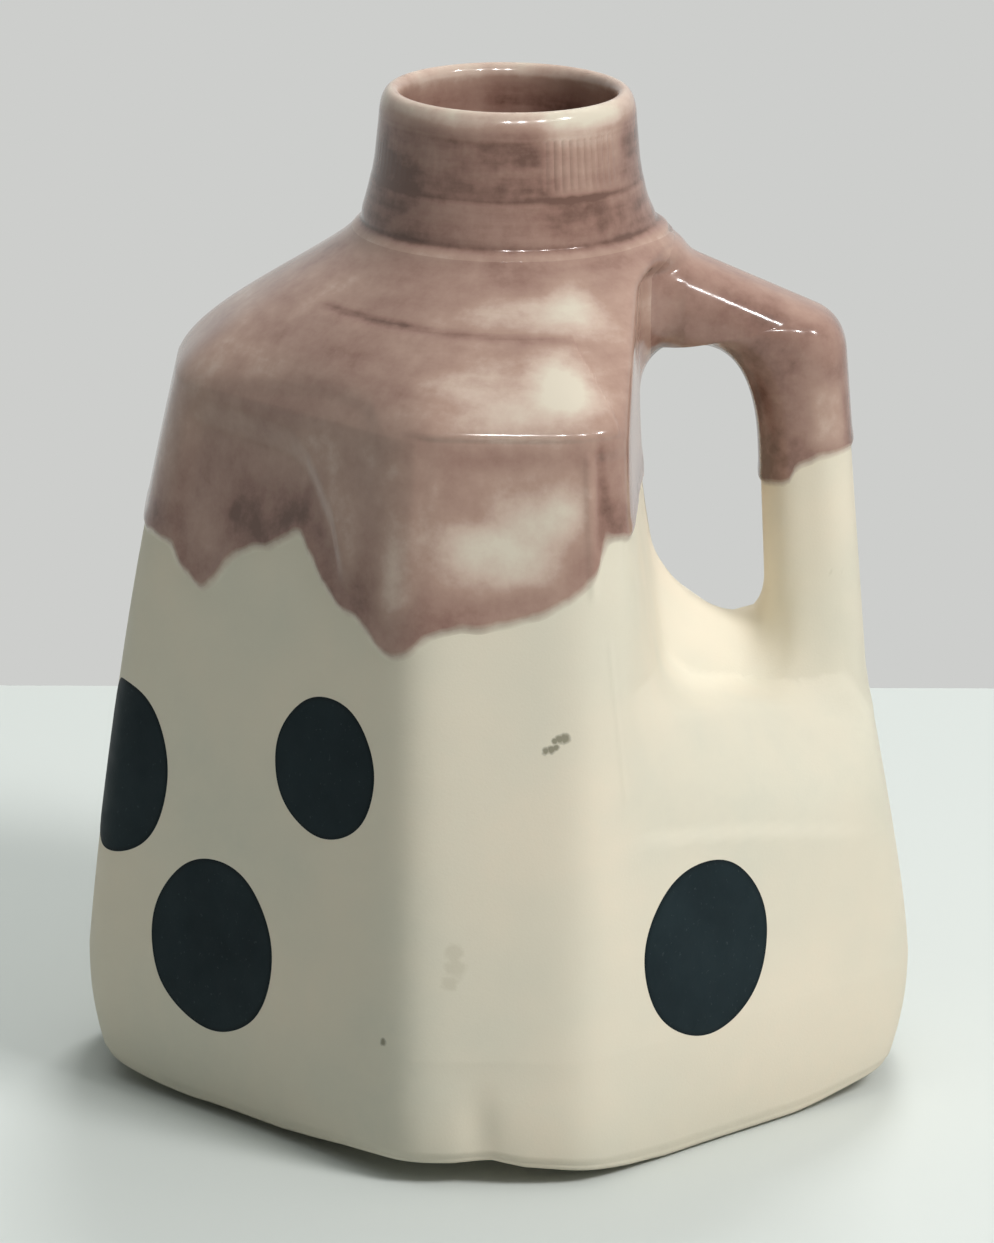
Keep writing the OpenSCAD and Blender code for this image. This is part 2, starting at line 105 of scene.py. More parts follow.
# Shoulder and neck
HIP_DRAW = 3.6
HIP_ROUND = 7.6
COLLAR_ROUND = 5.4
LIP_R = 19.0
LIP_CREST_R = 17.4
LIP_ROUND_OUT = 4
LIP_ROUND_IN = 1.6
BORE_R = 16.4
RIBS = 96
RIB_H = 0.1
RIB_WORN = 0.06
RIBS_KEPT = (287, 323)
NECK_BASE_R = 23.0

# Outside of the neck: radius, height above the shoulder
NECK_PROFILE = [
    (NECK_BASE_R, 0), (22.6, 0.5), (21.8, 1.1), (21.5, 1.6), (21.5, 2.2), (21.4, 3.0), (20.9, 4.8),
    (20.5, 6.4), (20.25, 7.6), (19.95, 8.7), (19.85, 9.4), (19.6, 10.8),
    (LIP_R, LIP_Z - COLLAR_Z - LIP_ROUND_OUT),
]

# Grip recess, with a web of clay from its wall to the foot of the handle
FLOOR_Z = SEAT_Z + 6.2
GRIP_LOW_Z = FLOOR_Z - 5
GRIP_LOW_H = 7
GRIP_ROUND = 8
GRIP_LEAN = 0.0032
FLOOR_START = 0.06
WEB_TOP_Z = 70
WEB_RISE = 8.3
WEB_X = 24.5
WEB_RUN = 5.6
WEB_END_X = 42
WEB_END_FALL = 0.5
WEB_FLANK = 0.4
WEB_END_FLANK = 1.2
WEB_FLANK_X = 28
WEB_FLANK_RUN = 14
WEB_BLUNT = 4
WEB_FALL = 0.035
WEB_HALF_W = 9
WEB_CREASE = 0.8
WEB_LOW_R = 12
WEB_HIGH_R = 64
WEB_LIMIT_Z = 100
GRIP_SLANT = 0.05
GRIP_POWER = 30
LEDGE_Z = 38.5
LEDGE_RISE = 13
LEDGE_STEP = 0.8
LEDGE_FADE = 1.2
DISH_IN = 15
DISH_CURVE = 1.25
DISH_TURN = 24
DISH_END = 72
SKIRT = 10
SKIRT_TURN = 15
SKIRT_TOP_Z = SEAT_Z + 5
SKIRT_H = 12
CORNER_RELIEF = 2.2

# Handle
LEG_T = 15
ELBOW = (HIP_HALF + 1.5, HIP_Z + 7.4)
ELBOW_T = 13.1
ELBOW_ROUND = 4.4
ARM_H = 17.8
ARM_UNDER_Z = HIP_Z + 7.8
ARM_ROUND = 15
LEG_ROUND = 20
SECTION_POWER = 2 / 0.75
LEG_BURIED = 22
LEG_LEAN = 0.3
LEG_TUCK = 6
TUCK_FROM = 9
TUCK_RUN = 10
LEG_FLARE = 2
FLARE_TOP_Z = SEAT_Z + 6
FLARE_RUN = 22
HANDLE_ROOT_U = -0.06
ROOT_X = 34
ROOT_Z = 88
ROOT_FADE = 8

# Coats
GLAZE_T = 0.35
GLAZE_EDGE = 1.2
BEAD_T = 0.12
BEAD_AT = 1.6
SPOT_T = 0.12
BURIED = 0.2

COLUMNS = 600
FAR = 60.0
HANDLE_SIDES = 112


def cosd(t):
    return np.cos(np.radians(t))


def sind(t):
    return np.sin(np.radians(t))


def ease(t):
    u = np.clip(t, 0, 1)
    return u * u * (3 - 2 * u)


def lerp(a, b, t):
    return a + (b - a) * t


def bell(t):
    return np.exp(-t * t)


def turn_from(t, centre):
    """Signed angle from centre to t, within half a turn."""
    return (t - centre + 180) % 360 - 180


def between(t, low, high, fade):
    """1 from low to high and 0 outside, with edges as wide as fade."""
    return ease((t - low) / fade + 0.5) * ease((high - t) / fade + 0.5)


def polar(t, r, z):
    return np.stack([r * cosd(t), r * sind(t), z + 0 * r], -1)


def unit(v):
    return v / np.maximum(np.linalg.norm(v, axis=-1, keepdims=True), 1e-9)


def read_off(line, x):
    """Value at x of a line of (x, value) pairs."""
    return np.interp(x, *zip(*line))


def smoothed(values, sigma, closed):
    """Values run through a bell filter that is sigma samples wide."""
    reach = int(3 * sigma) + 1
    weights = np.exp(-0.5 * (np.arange(-reach, reach + 1) / sigma) ** 2)
    padded = np.pad(values, reach, mode="wrap" if closed else "edge")
    return np.convolve(padded, weights / weights.sum(), mode="valid")


# Radius of the clay body


def corner_at(z):
    low = BODY_HALF - FOOT_DRAW * np.maximum(0, 1 - z / WIDEST_Z) ** 2
    t = (z - WIDEST_Z) / (HIP_Z - WIDEST_Z)
    return np.where(z < WIDEST_Z, low, lerp(BODY_HALF, HIP_HALF, t) + 4 * BELLY * t * (1 - t))


def side_of(a):
    return (a + CORNER_FLAT / 2 * np.minimum(1, a / HIP_HALF)) / math.sqrt(2)


def handle_corner_at(z):
    return corner_at(z) - CORNER_RELIEF * ease((z - WIDEST_Z) / (SEAT_Z - WIDEST_Z))


def octagon(t, a, a_handle, power=EDGE_POWER):
    """Radius of the rounded octagon: a to its corners and side_of(a) to its sides."""
    faces = [(0, a_handle)] + [(c, a) for c in (90, 180, 270)]
    faces += [(c, side_of(a)) for c in (45, 135, 225, 315)]
    total = sum((np.maximum(0, cosd(t - c)) / reach) ** power for c, reach in faces)
    return total ** (-1 / power)


def ledge_at(t):
    return LEDGE_Z + LEDGE_RISE * np.where(cosd(t) > 0, np.abs(sind(t)), 1)


def grip_wall_x(z):
    """Wall behind the fingers: it leans out as it comes down, and curves out to its floor."""
    v = (z - GRIP_LOW_Z) / GRIP_LOW_H
    u = np.clip(v, FLOOR_START, 1)
    curve = np.sqrt(1 - (1 - u) ** 2)
    slope = (1 - FLOOR_START) / math.sqrt(1 - (1 - FLOOR_START) ** 2)
    floor = slope * np.maximum(0, FLOOR_START - v)
    lean = 0.6 + GRIP_LEAN * np.maximum(0, HIP_Z - z) ** 2
    rise = (COLLAR_R - GRIP_X + 1) * ease((z - COLLAR_Z + 5) / 5)
    return GRIP_X + GRIP_ROUND * (1 - curve + floor) + lean + rise


def web_top(x, y):
    """Height of the ridge of clay from the wall of the recess to the foot of the handle."""
    ridge = WEB_TOP_Z + WEB_RISE * np.exp((WEB_X - x) / WEB_RUN)
    slope = lerp(WEB_FLANK, WEB_END_FLANK, ease((x - WEB_FLANK_X) / WEB_FLANK_RUN))
    flank = slope * (np.hypot(y, WEB_BLUNT) - WEB_BLUNT)
    flank = flank + WEB_FALL * np.maximum(0, np.abs(y) - WEB_HALF_W) ** 2
    return ridge - flank - WEB_END_FALL * np.maximum(0, x - WEB_END_X) ** 2


def web_radius(t, z):
    """Radius of the web at an angle and a height, found by halving."""
    low, high = 0 * (t + z) + WEB_LOW_R, 0 * (t + z) + WEB_HIGH_R
    for _ in range(14):
        r = (low + high) / 2
        inside = web_top(r * cosd(t), r * sind(t)) > z
        low, high = np.where(inside, r, low), np.where(inside, high, r)
    return np.where((cosd(t) > 0.15) & (z < WEB_LIMIT_Z), low, 0)


def web_distance(p):
    """Distance from the top of the web."""
    x, y, tiny = p[:, 0], p[:, 1], 0.1
    over_x = (web_top(x + tiny, y) - web_top(x - tiny, y)) / (2 * tiny)
    over_y = (web_top(x, y + tiny) - web_top(x, y - tiny)) / (2 * tiny)
    away = (p[:, 2] - web_top(x, y)) / np.sqrt(1 + over_x ** 2 + over_y ** 2)
    return np.where(x > WEB_LOW_R, away, FAR)


def cut_by_recess(t, r, z, with_web):
    """A radius of the body cut back by the dished sides and the wall of the recess."""
    low = ledge_at(t)
    v = np.clip((z - low) / (FLOOR_Z - low), 0, 1.1)
    turn = lerp(45, DISH_TURN, v)
    reach = side_of(corner_at(low)) + 1 - LEDGE_STEP - DISH_IN * v ** DISH_CURVE
    reach = reach + SKIRT * bell(turn_from(t, 0) / SKIRT_TURN) * ease((SKIRT_TOP_Z - z) / SKIRT_H)
    sides = sum((np.maximum(0, cosd(t + s * turn)) / reach) ** GRIP_POWER for s in (-1, 1)) / 2
    x = grip_wall_x(z)
    straight = cosd(t) / x
    slanted = (cosd(t) + GRIP_SLANT * np.abs(sind(t))) / (x + GRIP_SLANT * HANDLE_HALF_W)
    behind = np.maximum(0, np.maximum(straight, slanted)) ** GRIP_POWER
    step = ease((z - low) / LEDGE_FADE + 0.5) * ease((DISH_END - np.abs(turn_from(t, 0))) / 10)
    cut = (r ** -GRIP_POWER + step * sides + (z > low) * behind) ** (-1 / GRIP_POWER)
    if not with_web:
        return cut
    web = np.minimum(web_radius(t, z), r)
    most = np.maximum(cut, web)
    crease = np.maximum(0.01, WEB_CREASE * ease((r - most) / 5))
    m = np.maximum(crease - np.abs(cut - web), 0) / crease
    return most + m * m * crease / 4


shoulder_s = np.linspace(0, 1, 401)
shoulder_points = [
    (HIP_HALF, HIP_Z),
    (HIP_HALF - HIP_DRAW, HIP_Z + HIP_ROUND),
    (NECK_BASE_R + COLLAR_ROUND * 0.55, COLLAR_Z - COLLAR_ROUND * 0.83),
    (NECK_BASE_R, COLLAR_Z),
]
shoulder_half, shoulder_z = sum(
    np.outer(p, c * shoulder_s ** i * (1 - shoulder_s) ** (3 - i))
    for i, (p, c) in enumerate(zip(shoulder_points, (1, 3, 3, 1)))
)
neck_z = np.arange(0, LIP_Z - COLLAR_Z, 0.05)
neck_r = smoothed(np.interp(neck_z, [p[1] for p in NECK_PROFILE], [p[0] for p in NECK_PROFILE]), 5, False)

# Lines that the mould left in the clay, as angle and height
CREASE_Z = 110.7
TIER_LINE = [(205, 123), (242, 122.5), (262, 122), (286, 121.6), (288, 118), (289.5, 114), (290.5, 110)]
LEFT_LINE = [(198, 109.5), (208, 111.3), (218, 112.5), (228, 113.8), (236, 114), (244, 113), (250, 110)]
PANEL_LINE = [
    (198, 106.5), (209, 106.2), (217, 106), (225, 105.5), (230, 103.5), (233, 101), (238, 96), (242, 88),
]


def below(line, t, z, width):
    """1 below a line on the clay and 0 above it, with an edge of a given width."""
    return ease((read_off(line, t) - z) / width + 0.5)


def relief(t, z):
    """Small steps, sunk panels and seams that the mould left in the clay."""
    over_crease = ease((z - CREASE_Z) / 1.2 + 0.5)
    foot_of_tier = lerp(ease((z - CREASE_Z) / 8), over_crease, ease((t - 250) / 8))
    tier = 0.6 * below(TIER_LINE, t, z, 1.6) * foot_of_tier * ease((t - 208) / 26)
    front = -0.2 * (1 - over_crease) * ease((z - 84) / 14) * between(t, 256, 283, 3)
    ridge = 0.3 * bell((t - 284.2) / 0.6) * ease((109 - z) / 1.5) * ease((z - 86) / 4)
    column = -0.25 * between(t, 285.2, 290.5, 1) * ease((109 - z) / 2) * ease((z - 86) / 8)
    left = -0.4 * below(LEFT_LINE, t, z, 3) * between(t, 201, 246, 8) * ease((z - 92) / 12)
    panel = -0.8 * below(PANEL_LINE, t, z, 5) * between(t, 200, 242, 5) * ease((z - 82) / 14)
    seam = 0.14 * bell((t - np.interp(-z, (-80, -58), (286.9, 289))) / 0.4) * between(z, 57, 81, 4)
    dimple = -0.7 * bell((t - 267.6) / 2.6) * bell((z - 9) / 6)
    wave = sind(3 * t + 40) * np.sin(z / 17) + sind(7 * t) * np.sin(z / 11 + 2)
    wave = 0.1 * wave * ease((128 - z) / 20) * ease((z - 4) / 12)
    return tier + front + ridge + column + left + panel + seam + dimple + wave


def ribs(t, z):
    """Worn ribs of the cap that the neck was cast from."""
    worn = lerp(RIB_WORN, 1, between(t, *RIBS_KEPT, 8))
    height = between(z, COLLAR_Z + 9.8, LIP_Z - LIP_ROUND_OUT + 0.8, 1.4)
    return RIB_H * worn * cosd(RIBS * t) * height


def body_radius(t, z, with_web=True):
    """Radius of the clay at an angle and a height, from the foot up to the lip."""
    t = np.asarray(t, float) % 360
    z = np.asarray(z, float)
    wall_z = np.minimum(z, HIP_Z)
    power = lerp(EDGE_POWER, CREASE_POWER, ease((wall_z - 70) / 35))
    wall = octagon(t, corner_at(wall_z), handle_corner_at(wall_z), power)
    s = np.interp(z, shoulder_z, shoulder_s)
    half = np.interp(s, shoulder_s, shoulder_half)
    slope = lerp(octagon(t, half, half, CREASE_POWER), half, ease(1.2 * s))
    clay = cut_by_recess(t, np.where(z > HIP_Z, slope, wall), z, with_web)
    neck = np.interp(z - COLLAR_Z, neck_z, neck_r) + ribs(t, z)
    return np.where(z > COLLAR_Z, neck, clay + relief(t, z))


# Line of the handle, and its distance from a point


def rounded_corner(start, corner, end, before, after, u):
    """A line from 0 to 1, a rounded corner to 2 and a line to 3."""
    start, corner, end = (np.array(p, float) for p in (start, corner, end))
    p = corner + before * (start - corner) / np.linalg.norm(start - corner)
    q = corner + after * (end - corner) / np.linalg.norm(end - corner)
    u = np.asarray(u, float)[..., None]
    v = np.clip(u - 1, 0, 1)
    bend = (1 - v) ** 2 * p + 2 * v * (1 - v) * corner + v * v * q
    return np.where(u < 1, lerp(start, p, u), np.where(u > 2, lerp(q, end, u - 2), bend))


seat_out_x = float(handle_corner_at(SEAT_Z))
seat_in_x = seat_out_x - LEG_T


def handle_sides(u):
    """Outer and inner side of the handle at u, as (x, z), and half its width."""
    out = rounded_corner((GRIP_X, ARM_TOP_Z), ELBOW, (seat_out_x, SEAT_Z), ELBOW_ROUND, ELBOW_ROUND, u)
    inn = rounded_corner(
        (GRIP_X, ARM_TOP_Z - ARM_H), (ELBOW[0] - ELBOW_T, ARM_UNDER_Z), (seat_in_x, SEAT_Z),
        ARM_ROUND, LEG_ROUND, u,
    )
    below_seat = np.maximum(0, np.asarray(u, float) - 3) * LEG_BURIED
    z = SEAT_Z - below_seat
    tuck = LEG_TUCK * ease((below_seat - TUCK_FROM) / TUCK_RUN)
    out_below = np.stack([handle_corner_at(z) - tuck, z], -1)
    inn_below = np.stack([seat_in_x - LEG_LEAN * below_seat, z], -1)
    under = (below_seat > 0)[..., None]
    centre_z = np.where(under[..., 0], z, (out[..., 1] + inn[..., 1]) / 2)
    flare = ease((FLARE_TOP_Z - centre_z) / FLARE_RUN) * (np.asarray(u) > 2)
    half_w = HANDLE_HALF_W + LEG_FLARE * flare
    return np.where(under, out_below, out), np.where(under, inn_below, inn), half_w


line_u = np.concatenate([np.linspace(-1.2, 0, 10), np.linspace(0.02, 3, 200), np.linspace(3.02, 4, 40)])
line_out, line_in, line_half_w = handle_sides(line_u)


def section_distance(a, y, half_t, half_w):
    """Distance from a rounded section, a half thicknesses from its middle and y to its side."""
    b = np.abs(y) / half_w
    f = np.maximum((a ** SECTION_POWER + b ** SECTION_POWER) ** (1 / SECTION_POWER), 0.05)
    slope = np.hypot((a / f) ** (SECTION_POWER - 1) / half_t, (b / f) ** (SECTION_POWER - 1) / half_w)
    return np.maximum((f - 1) / slope, -HANDLE_HALF_W)


def root_distance(p):
    """Distance from the arm by its root, where its sections stand upright."""
    top = np.interp(p[:, 0], *line_out[line_u <= 1].T)
    under = np.interp(p[:, 0], *line_in[line_u <= 1.6].T)
    half_t = (top - under) / 2
    return section_distance(np.abs(p[:, 2] - under - half_t) / half_t, p[:, 1], half_t, HANDLE_HALF_W)


def handle_distance(p):
    """Distance from the handle, good near its surface."""
    span = line_out - line_in
    rel_x = p[:, :1] - line_in[:, 0]
    rel_z = p[:, 2:] - line_in[:, 1]
    side = span[:, 0] * rel_z - span[:, 1] * rel_x
    across = 2 * (span[:, 0] * rel_x + span[:, 1] * rel_z) / (span ** 2).sum(1) - 1
    crosses = side[:, :-1] * side[:, 1:] <= 0
    change = side[:, :-1] - side[:, 1:]
    w = side[:, :-1] / np.where(np.abs(change) < 1e-9, 1, change)
    a = np.where(crosses, np.abs(lerp(across[:, :-1], across[:, 1:], w)), FAR)
    best = a.argmin(1)
    rows = np.arange(len(p))
    u, a = w[rows, best], a[rows, best]
    depth = np.linalg.norm(span, axis=1) / 2
    half_t = lerp(depth[best], depth[best + 1], u)
    half_w = lerp(line_half_w[best], line_half_w[best + 1], u)
    away = np.where(a >= FAR, FAR, section_distance(a, p[:, 1], half_t, half_w))
    by_root = ease((ROOT_X - p[:, 0]) / ROOT_FADE) * ease((p[:, 2] - ROOT_Z) / ROOT_FADE)
    return lerp(away, root_distance(p), by_root)


def body_distance(p):
    """Distance from the body without its web, and from the web, whichever is nearer."""
    t = np.degrees(np.arctan2(p[:, 1], p[:, 0]))
    z = p[:, 2]
    turn, climb = 0.4, 0.25
    r = body_radius(t, z, False)
    over_t = (body_radius(t + turn, z, False) - body_radius(t - turn, z, False)) / np.radians(2 * turn)
    over_z = (body_radius(t, z + climb, False) - body_radius(t, z - climb, False)) / (2 * climb)
    away = (np.hypot(p[:, 0], p[:, 1]) - r) / np.sqrt(1 + over_z ** 2 + (over_t / r) ** 2)
    return np.minimum(away, web_distance(p))


# The fillets where the handle grows out of the body

FILLET = 7
FILLET_LEAST = 0.1
FILLET_FROM_Z = SEAT_Z - 12
FILLET_RISE = 12
OUTSIDE_SHARE = 0.3
OUTSIDE_X = 46
OUTSIDE_Y = 10
OUTSIDE_TOP_Z = SEAT_Z + 16
MOST_MOVED = 0.32
DIVE = 0.3
SETTLE_STEPS = 12
SETTLE_RATE = 0.9
LEVEL_FROM_Z = 90
LEVEL_RISE = 15

# Where the handle's fillets may reach
JOINT_X = 8
JOINT_Y = 32
JOINT_LOW_Z = SEAT_Z - LEG_BURIED
JOINT_HIGH_Z = LIP_Z - 8


def fillet(p):
    """Reach of the fillet at a point: narrow on the outside of the leg."""
    x, y, z = p[:, 0], np.abs(p[:, 1]), p[:, 2]
    reach = FILLET * np.maximum(FILLET_LEAST, ease((z - FILLET_FROM_Z) / FILLET_RISE))
    outside = ease((x - OUTSIDE_X) / 8) * ease((OUTSIDE_Y - y) / 5) * (z < OUTSIDE_TOP_Z)
    return reach * lerp(1, OUTSIDE_SHARE, outside)


def joined(p):
    """Distance from the body and the handle with their fillet, and from each alone."""
    body, handle = body_distance(p), handle_distance(p)
    reach = fillet(p)
    m = np.maximum(reach - np.abs(body - handle), 0) / reach
    return np.minimum(body, handle) - m * m * reach / 4, body, handle


def near_joint(p):
    x, y, z = p[:, 0], p[:, 1], p[:, 2]
    return (x > JOINT_X) & (np.abs(y) < JOINT_Y) & (z > JOINT_LOW_Z) & (z < JOINT_HIGH_Z)


def settle(points, normals, on_handle):
    """Points moved on to the filleted surface, or under it past the joint, with their normals."""
    p, n = points.reshape(-1, 3).copy(), normals.reshape(-1, 3).copy()
    near = np.flatnonzero(near_joint(p))
    other = body_distance(p[near]) if on_handle else handle_distance(p[near])
    near = near[other < fillet(p[near])]
    if len(near) == 0:
        return points, normals
    start, way = p[near], n[near]
    if not on_handle:
        outward = start * (1, 1, 0) / np.hypot(start[:, 0], start[:, 1])[:, None]
        way = unit(lerp(way, outward, ease((start[:, 2:] - LEVEL_FROM_Z) / LEVEL_RISE)))
    limit = MOST_MOVED * fillet(start)
    move = np.zeros(len(near))
    for _ in range(SETTLE_STEPS):
        f, body, handle = joined(start + move[:, None] * way)
        past = handle - body if on_handle else body - handle
        move = np.clip(move - SETTLE_RATE * (f + DIVE * np.maximum(0, past)), 0, limit)
    p[near] = start + move[:, None] * way
    tiny = 0.06
    slope = [
        joined(p[near] + tiny * axis)[0] - joined(p[near] - tiny * axis)[0] for axis in np.eye(3)
    ]
    n[near] = np.stack(slope, -1) + 1e-6 * way
    return p.reshape(points.shape), unit(n).reshape(normals.shape)


def grid_normals(points, closed_columns=True):
    """Normals of rows of points, out of the side on which the columns run anticlockwise."""
    up = np.gradient(points, axis=0)
    if closed_columns:
        across = np.roll(points, -1, 1) - np.roll(points, 1, 1)
    else:
        across = np.gradient(points, axis=1)
    return unit(np.cross(across, up))


# Angles of the columns, evenly spaced along the outline, and closer on the glazed front


def even_angles(count):
    t = np.arange(0, 360, 0.25)
    step = 0
    for z in (40, 90, 100, 116):
        p = polar(t, body_radius(t, z), z)
        step = step + np.linalg.norm(np.roll(p, -1, 0) - p, axis=1)
    step = (step + step.mean()) * (1 + between(t, 195, 325, 8))
    length = np.concatenate([[0], np.cumsum(step)])
    return np.interp(np.arange(count) / count * length[-1], length, np.append(t, 360))


angles = even_angles(COLUMNS)


def plain_rows(z_rows):
    z = np.broadcast_to(np.asarray(z_rows, float), (len(z_rows), COLUMNS))
    return polar(angles, body_radius(angles, z), z)


def clay_rows(z_rows):
    """Settled points and normals of the body at rows of heights, one height for each angle."""
    points = plain_rows(z_rows)
    return settle(points, grid_normals(points), False)


# Meshes


def ring_faces(rows, columns, closed_rows, closed_columns=True):
    """Four-sided faces between rows of points, outwards as seen from grid_normals."""
    i = np.arange(rows if closed_rows else rows - 1)[:, None]
    j = np.arange(columns if closed_columns else columns - 1)[None, :]
    k, m = (i + 1) % rows, (j + 1) % columns
    corners = [i * columns + j, i * columns + m, k * columns + m, k * columns + j]
    return np.stack(np.broadcast_arrays(*corners), -1).reshape(-1, 4)


def make_piece(name, points, normals, quads, triangles=(), values=None):
    """A smooth mesh from points in millimetres, with the normals given."""
    points, normals = points.reshape(-1, 3), normals.reshape(-1, 3)
    triangles = np.asarray(triangles, int).reshape(-1, 3)
    mesh = bpy.data.meshes.new(name)
    mesh.vertices.add(len(points))
    mesh.vertices.foreach_set("co", (points * MM).astype(np.float32).ravel())
    loops = np.concatenate([quads.ravel(), triangles.ravel()])
    totals = np.concatenate([np.full(len(quads), 4), np.full(len(triangles), 3)])
    mesh.loops.add(len(loops))
    mesh.loops.foreach_set("vertex_index", loops.astype(np.int32))
    mesh.polygons.add(len(totals))
    mesh.polygons.foreach_set("loop_start", (np.cumsum(totals) - totals).astype(np.int32))
    mesh.polygons.foreach_set("use_smooth", np.ones(len(totals), bool))
    mesh.update(calc_edges=True)
    for key, value in (values or {}).items():
        attribute = mesh.attributes.new(key, "FLOAT", "POINT")
        attribute.data.foreach_set("value", value.ravel().astype(np.float32))
    mesh.validate()
    mesh.normals_split_custom_set_from_vertices(normals)
    piece = bpy.data.objects.new(name, mesh)
    bpy.context.scene.collection.objects.link(piece)
    return piece


def finish_piece(piece, node, material):
    piece.data.materials.append(material)
    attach(piece, "root")
    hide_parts(node)


def fan(centre, first, count):
    j = np.arange(count)
    return np.stack([np.full(count, centre), first + j, first + (j + 1) % count], -1)


def end_caps(rows, columns):
    """Faces over the first and the last row, round two middle points that come after the rows."""
    middle = rows * columns
    caps = [fan(middle, 0, columns)[:, ::-1], fan(middle + 1, middle - columns, columns)]
    return np.concatenate(caps)


# Materials


def linear(*srgb):
    """A colour given as it looks on screen, from 0 to 255, as the shader takes it."""
    c = np.array(srgb) / 255
    return (*np.where(c <= 0.04045, c / 12.92, ((c + 0.055) / 1.055) ** 2.4), 1.0)


class Nodes:
    """A short way to add shader nodes to a material or a world, and join them."""

    def __init__(self, owner):
        owner.use_nodes = True
        self.owner = owner
        self.tree = owner.node_tree

    def add(self, kind, inputs=None, **settings):
        node = self.tree.nodes.new(kind)
        for key, value in settings.items():
            setattr(node, key, value)
        for key, value in (inputs or {}).items():
            self.join(value, node.inputs[key])
        return node

    def join(self, value, socket):
        if isinstance(value, bpy.types.NodeSocket):
            self.tree.links.new(value, socket)
        else:
            socket.default_value = value

    def math(self, operation, a, b=0.0):
        return self.add("ShaderNodeMath", {0: a, 1: b}, operation=operation).outputs[0]

    def place(self, scale):
        """Position in metres, stretched by a scale for each axis."""
        geometry = self.add("ShaderNodeNewGeometry")
        mapping = self.add("ShaderNodeMapping", {"Vector": geometry.outputs["Position"], "Scale": scale})
        return mapping.outputs[0]

    def noise(self, scale, detail=3.0, roughness=0.55, stretch=(1, 1, 1)):
        inputs = {"Vector": self.place(stretch), "Scale": scale, "Detail": detail, "Roughness": roughness}
        return self.add("ShaderNodeTexNoise", inputs).outputs[0]

    def swing(self, amount, *noise):
        """A noise as a value from minus to plus an amount."""
        return self.spread(self.noise(*noise), 0.25, 0.75, -amount, amount)

    def spread(self, value, low, high, to_low=0.0, to_high=1.0):
        inputs = {0: value, 1: low, 2: high, 3: to_low, 4: to_high}
        return self.add("ShaderNodeMapRange", inputs).outputs[0]

    def mix(self, factor, a, b, blend="MIX"):
        node = self.add("ShaderNodeMix", data_type="RGBA", blend_type=blend)
        for index, value in ((0, factor), (6, a), (7, b)):
            self.join(value, node.inputs[index])
        return node.outputs[2]

    def ramp(self, value, stops):
        node = self.add("ShaderNodeValToRGB", {0: value})
        elements = node.color_ramp.elements
        while len(elements) < len(stops):
            elements.new(0.5)
        for element, (at, colour) in zip(elements, stops):
            element.position = at
            element.color = colour
        return node.outputs[0]

    def attribute(self, name):
        return self.add("ShaderNodeAttribute", attribute_name=name).outputs["Fac"]

    def mark(self, place, reach, ragged):
        """1 at a place on the clay, run out at its reach with a ragged edge, in millimetres."""
        inputs = {0: self.place((1, 1, 1)), 1: [v * MM for v in place]}
        away = self.add("ShaderNodeVectorMath", inputs, operation="DISTANCE").outputs["Value"]
        away = self.math("ADD", away, self.math("MULTIPLY", ragged, 0.25 * reach * MM))
        return self.spread(away, 0.5 * reach * MM, reach * MM, 1.0, 0.0)

    def bump(self, height, strength, distance):
        inputs = {"Height": height, "Strength": strength, "Distance": distance}
        return self.add("ShaderNodeBump", inputs).outputs[0]

    def seen(self):
        """1 where the camera or a reflection looks, and 0 for light on its way to the object."""
        path = self.add("ShaderNodeLightPath").outputs
        direct = self.math("MAXIMUM", path["Is Camera Ray"], path["Is Glossy Ray"])
        return self.math("MAXIMUM", direct, path["Is Transmission Ray"])

    def finish(self, **sockets):
        """The material, with values or links in the sockets of its shader."""
        shader = self.tree.nodes["Principled BSDF"]
        for key, value in sockets.items():
            self.join(value, shader.inputs[key.replace("_", " ")])
        return self.owner


def new_material(name):
    return Nodes(bpy.data.materials.new(name))


CLAY = linear(223, 217, 198)
CLAY_WARM = linear(229, 218, 198)
CLAY_GREY = linear(215, 211, 194)
SPECK = linear(120, 116, 96)
SMUDGE = linear(186, 176, 154)

# Specks on the bare clay: place and reach
SPECKS = [
    ((6.6, -57.3, 66.0), 0.8), ((7.4, -57.2, 66.2), 0.8), ((8.1, -57.2, 66.5), 0.6),
    ((7.9, -57.0, 67.4), 0.6), ((8.6, -56.9, 67.7), 0.8), ((9.4, -56.8, 67.8), 0.9),
    ((56.1, -6.2, 52.1), 1.1), ((-16.8, -59.0, 21.5), 0.7), ((-23, -49, 70), 0.6),
]
SMUDGES = [((-6.5, -61.2, 36), 1.8), ((-6.3, -61.2, 33.8), 2.0), ((-7, -61.3, 31.5), 1.5)]


def clay_colour(n):
    """Bare clay: warm and grey clouds, with a fine mottling."""
    clouds = n.spread(n.noise(28, 3), 0.35, 0.65)
    colour = n.mix(clouds, CLAY_GREY, CLAY_WARM)
    mottle = n.spread(n.noise(420, 4, 0.6), 0.3, 0.7)
    return n.mix(n.math("MULTIPLY", mottle, 0.35), colour, CLAY)


def marked(n, colour, marks, paint, share):
    ragged = n.swing(1.0, 900, 2)
    most = 0.0
    for place, reach in marks:
        most = n.math("MAXIMUM", n.mark(place, reach, ragged), most)
    return n.mix(n.math("MULTIPLY", most, share), colour, paint)


def bisque_material():
    n = new_material("bisque")
    grain = n.noise(2600, 4, 0.65)
    rough = n.spread(n.noise(160, 3), 0.3, 0.7, 0.5, 0.62)
    colour = marked(n, clay_colour(n), SPECKS, SPECK, 0.8)
    colour = marked(n, colour, SMUDGES, SMUDGE, 0.3)
    return n.finish(
        Base_Color=colour, Roughness=rough, Specular_IOR_Level=0.15,
        Normal=n.bump(grain, 0.12, 0.0002),
    )


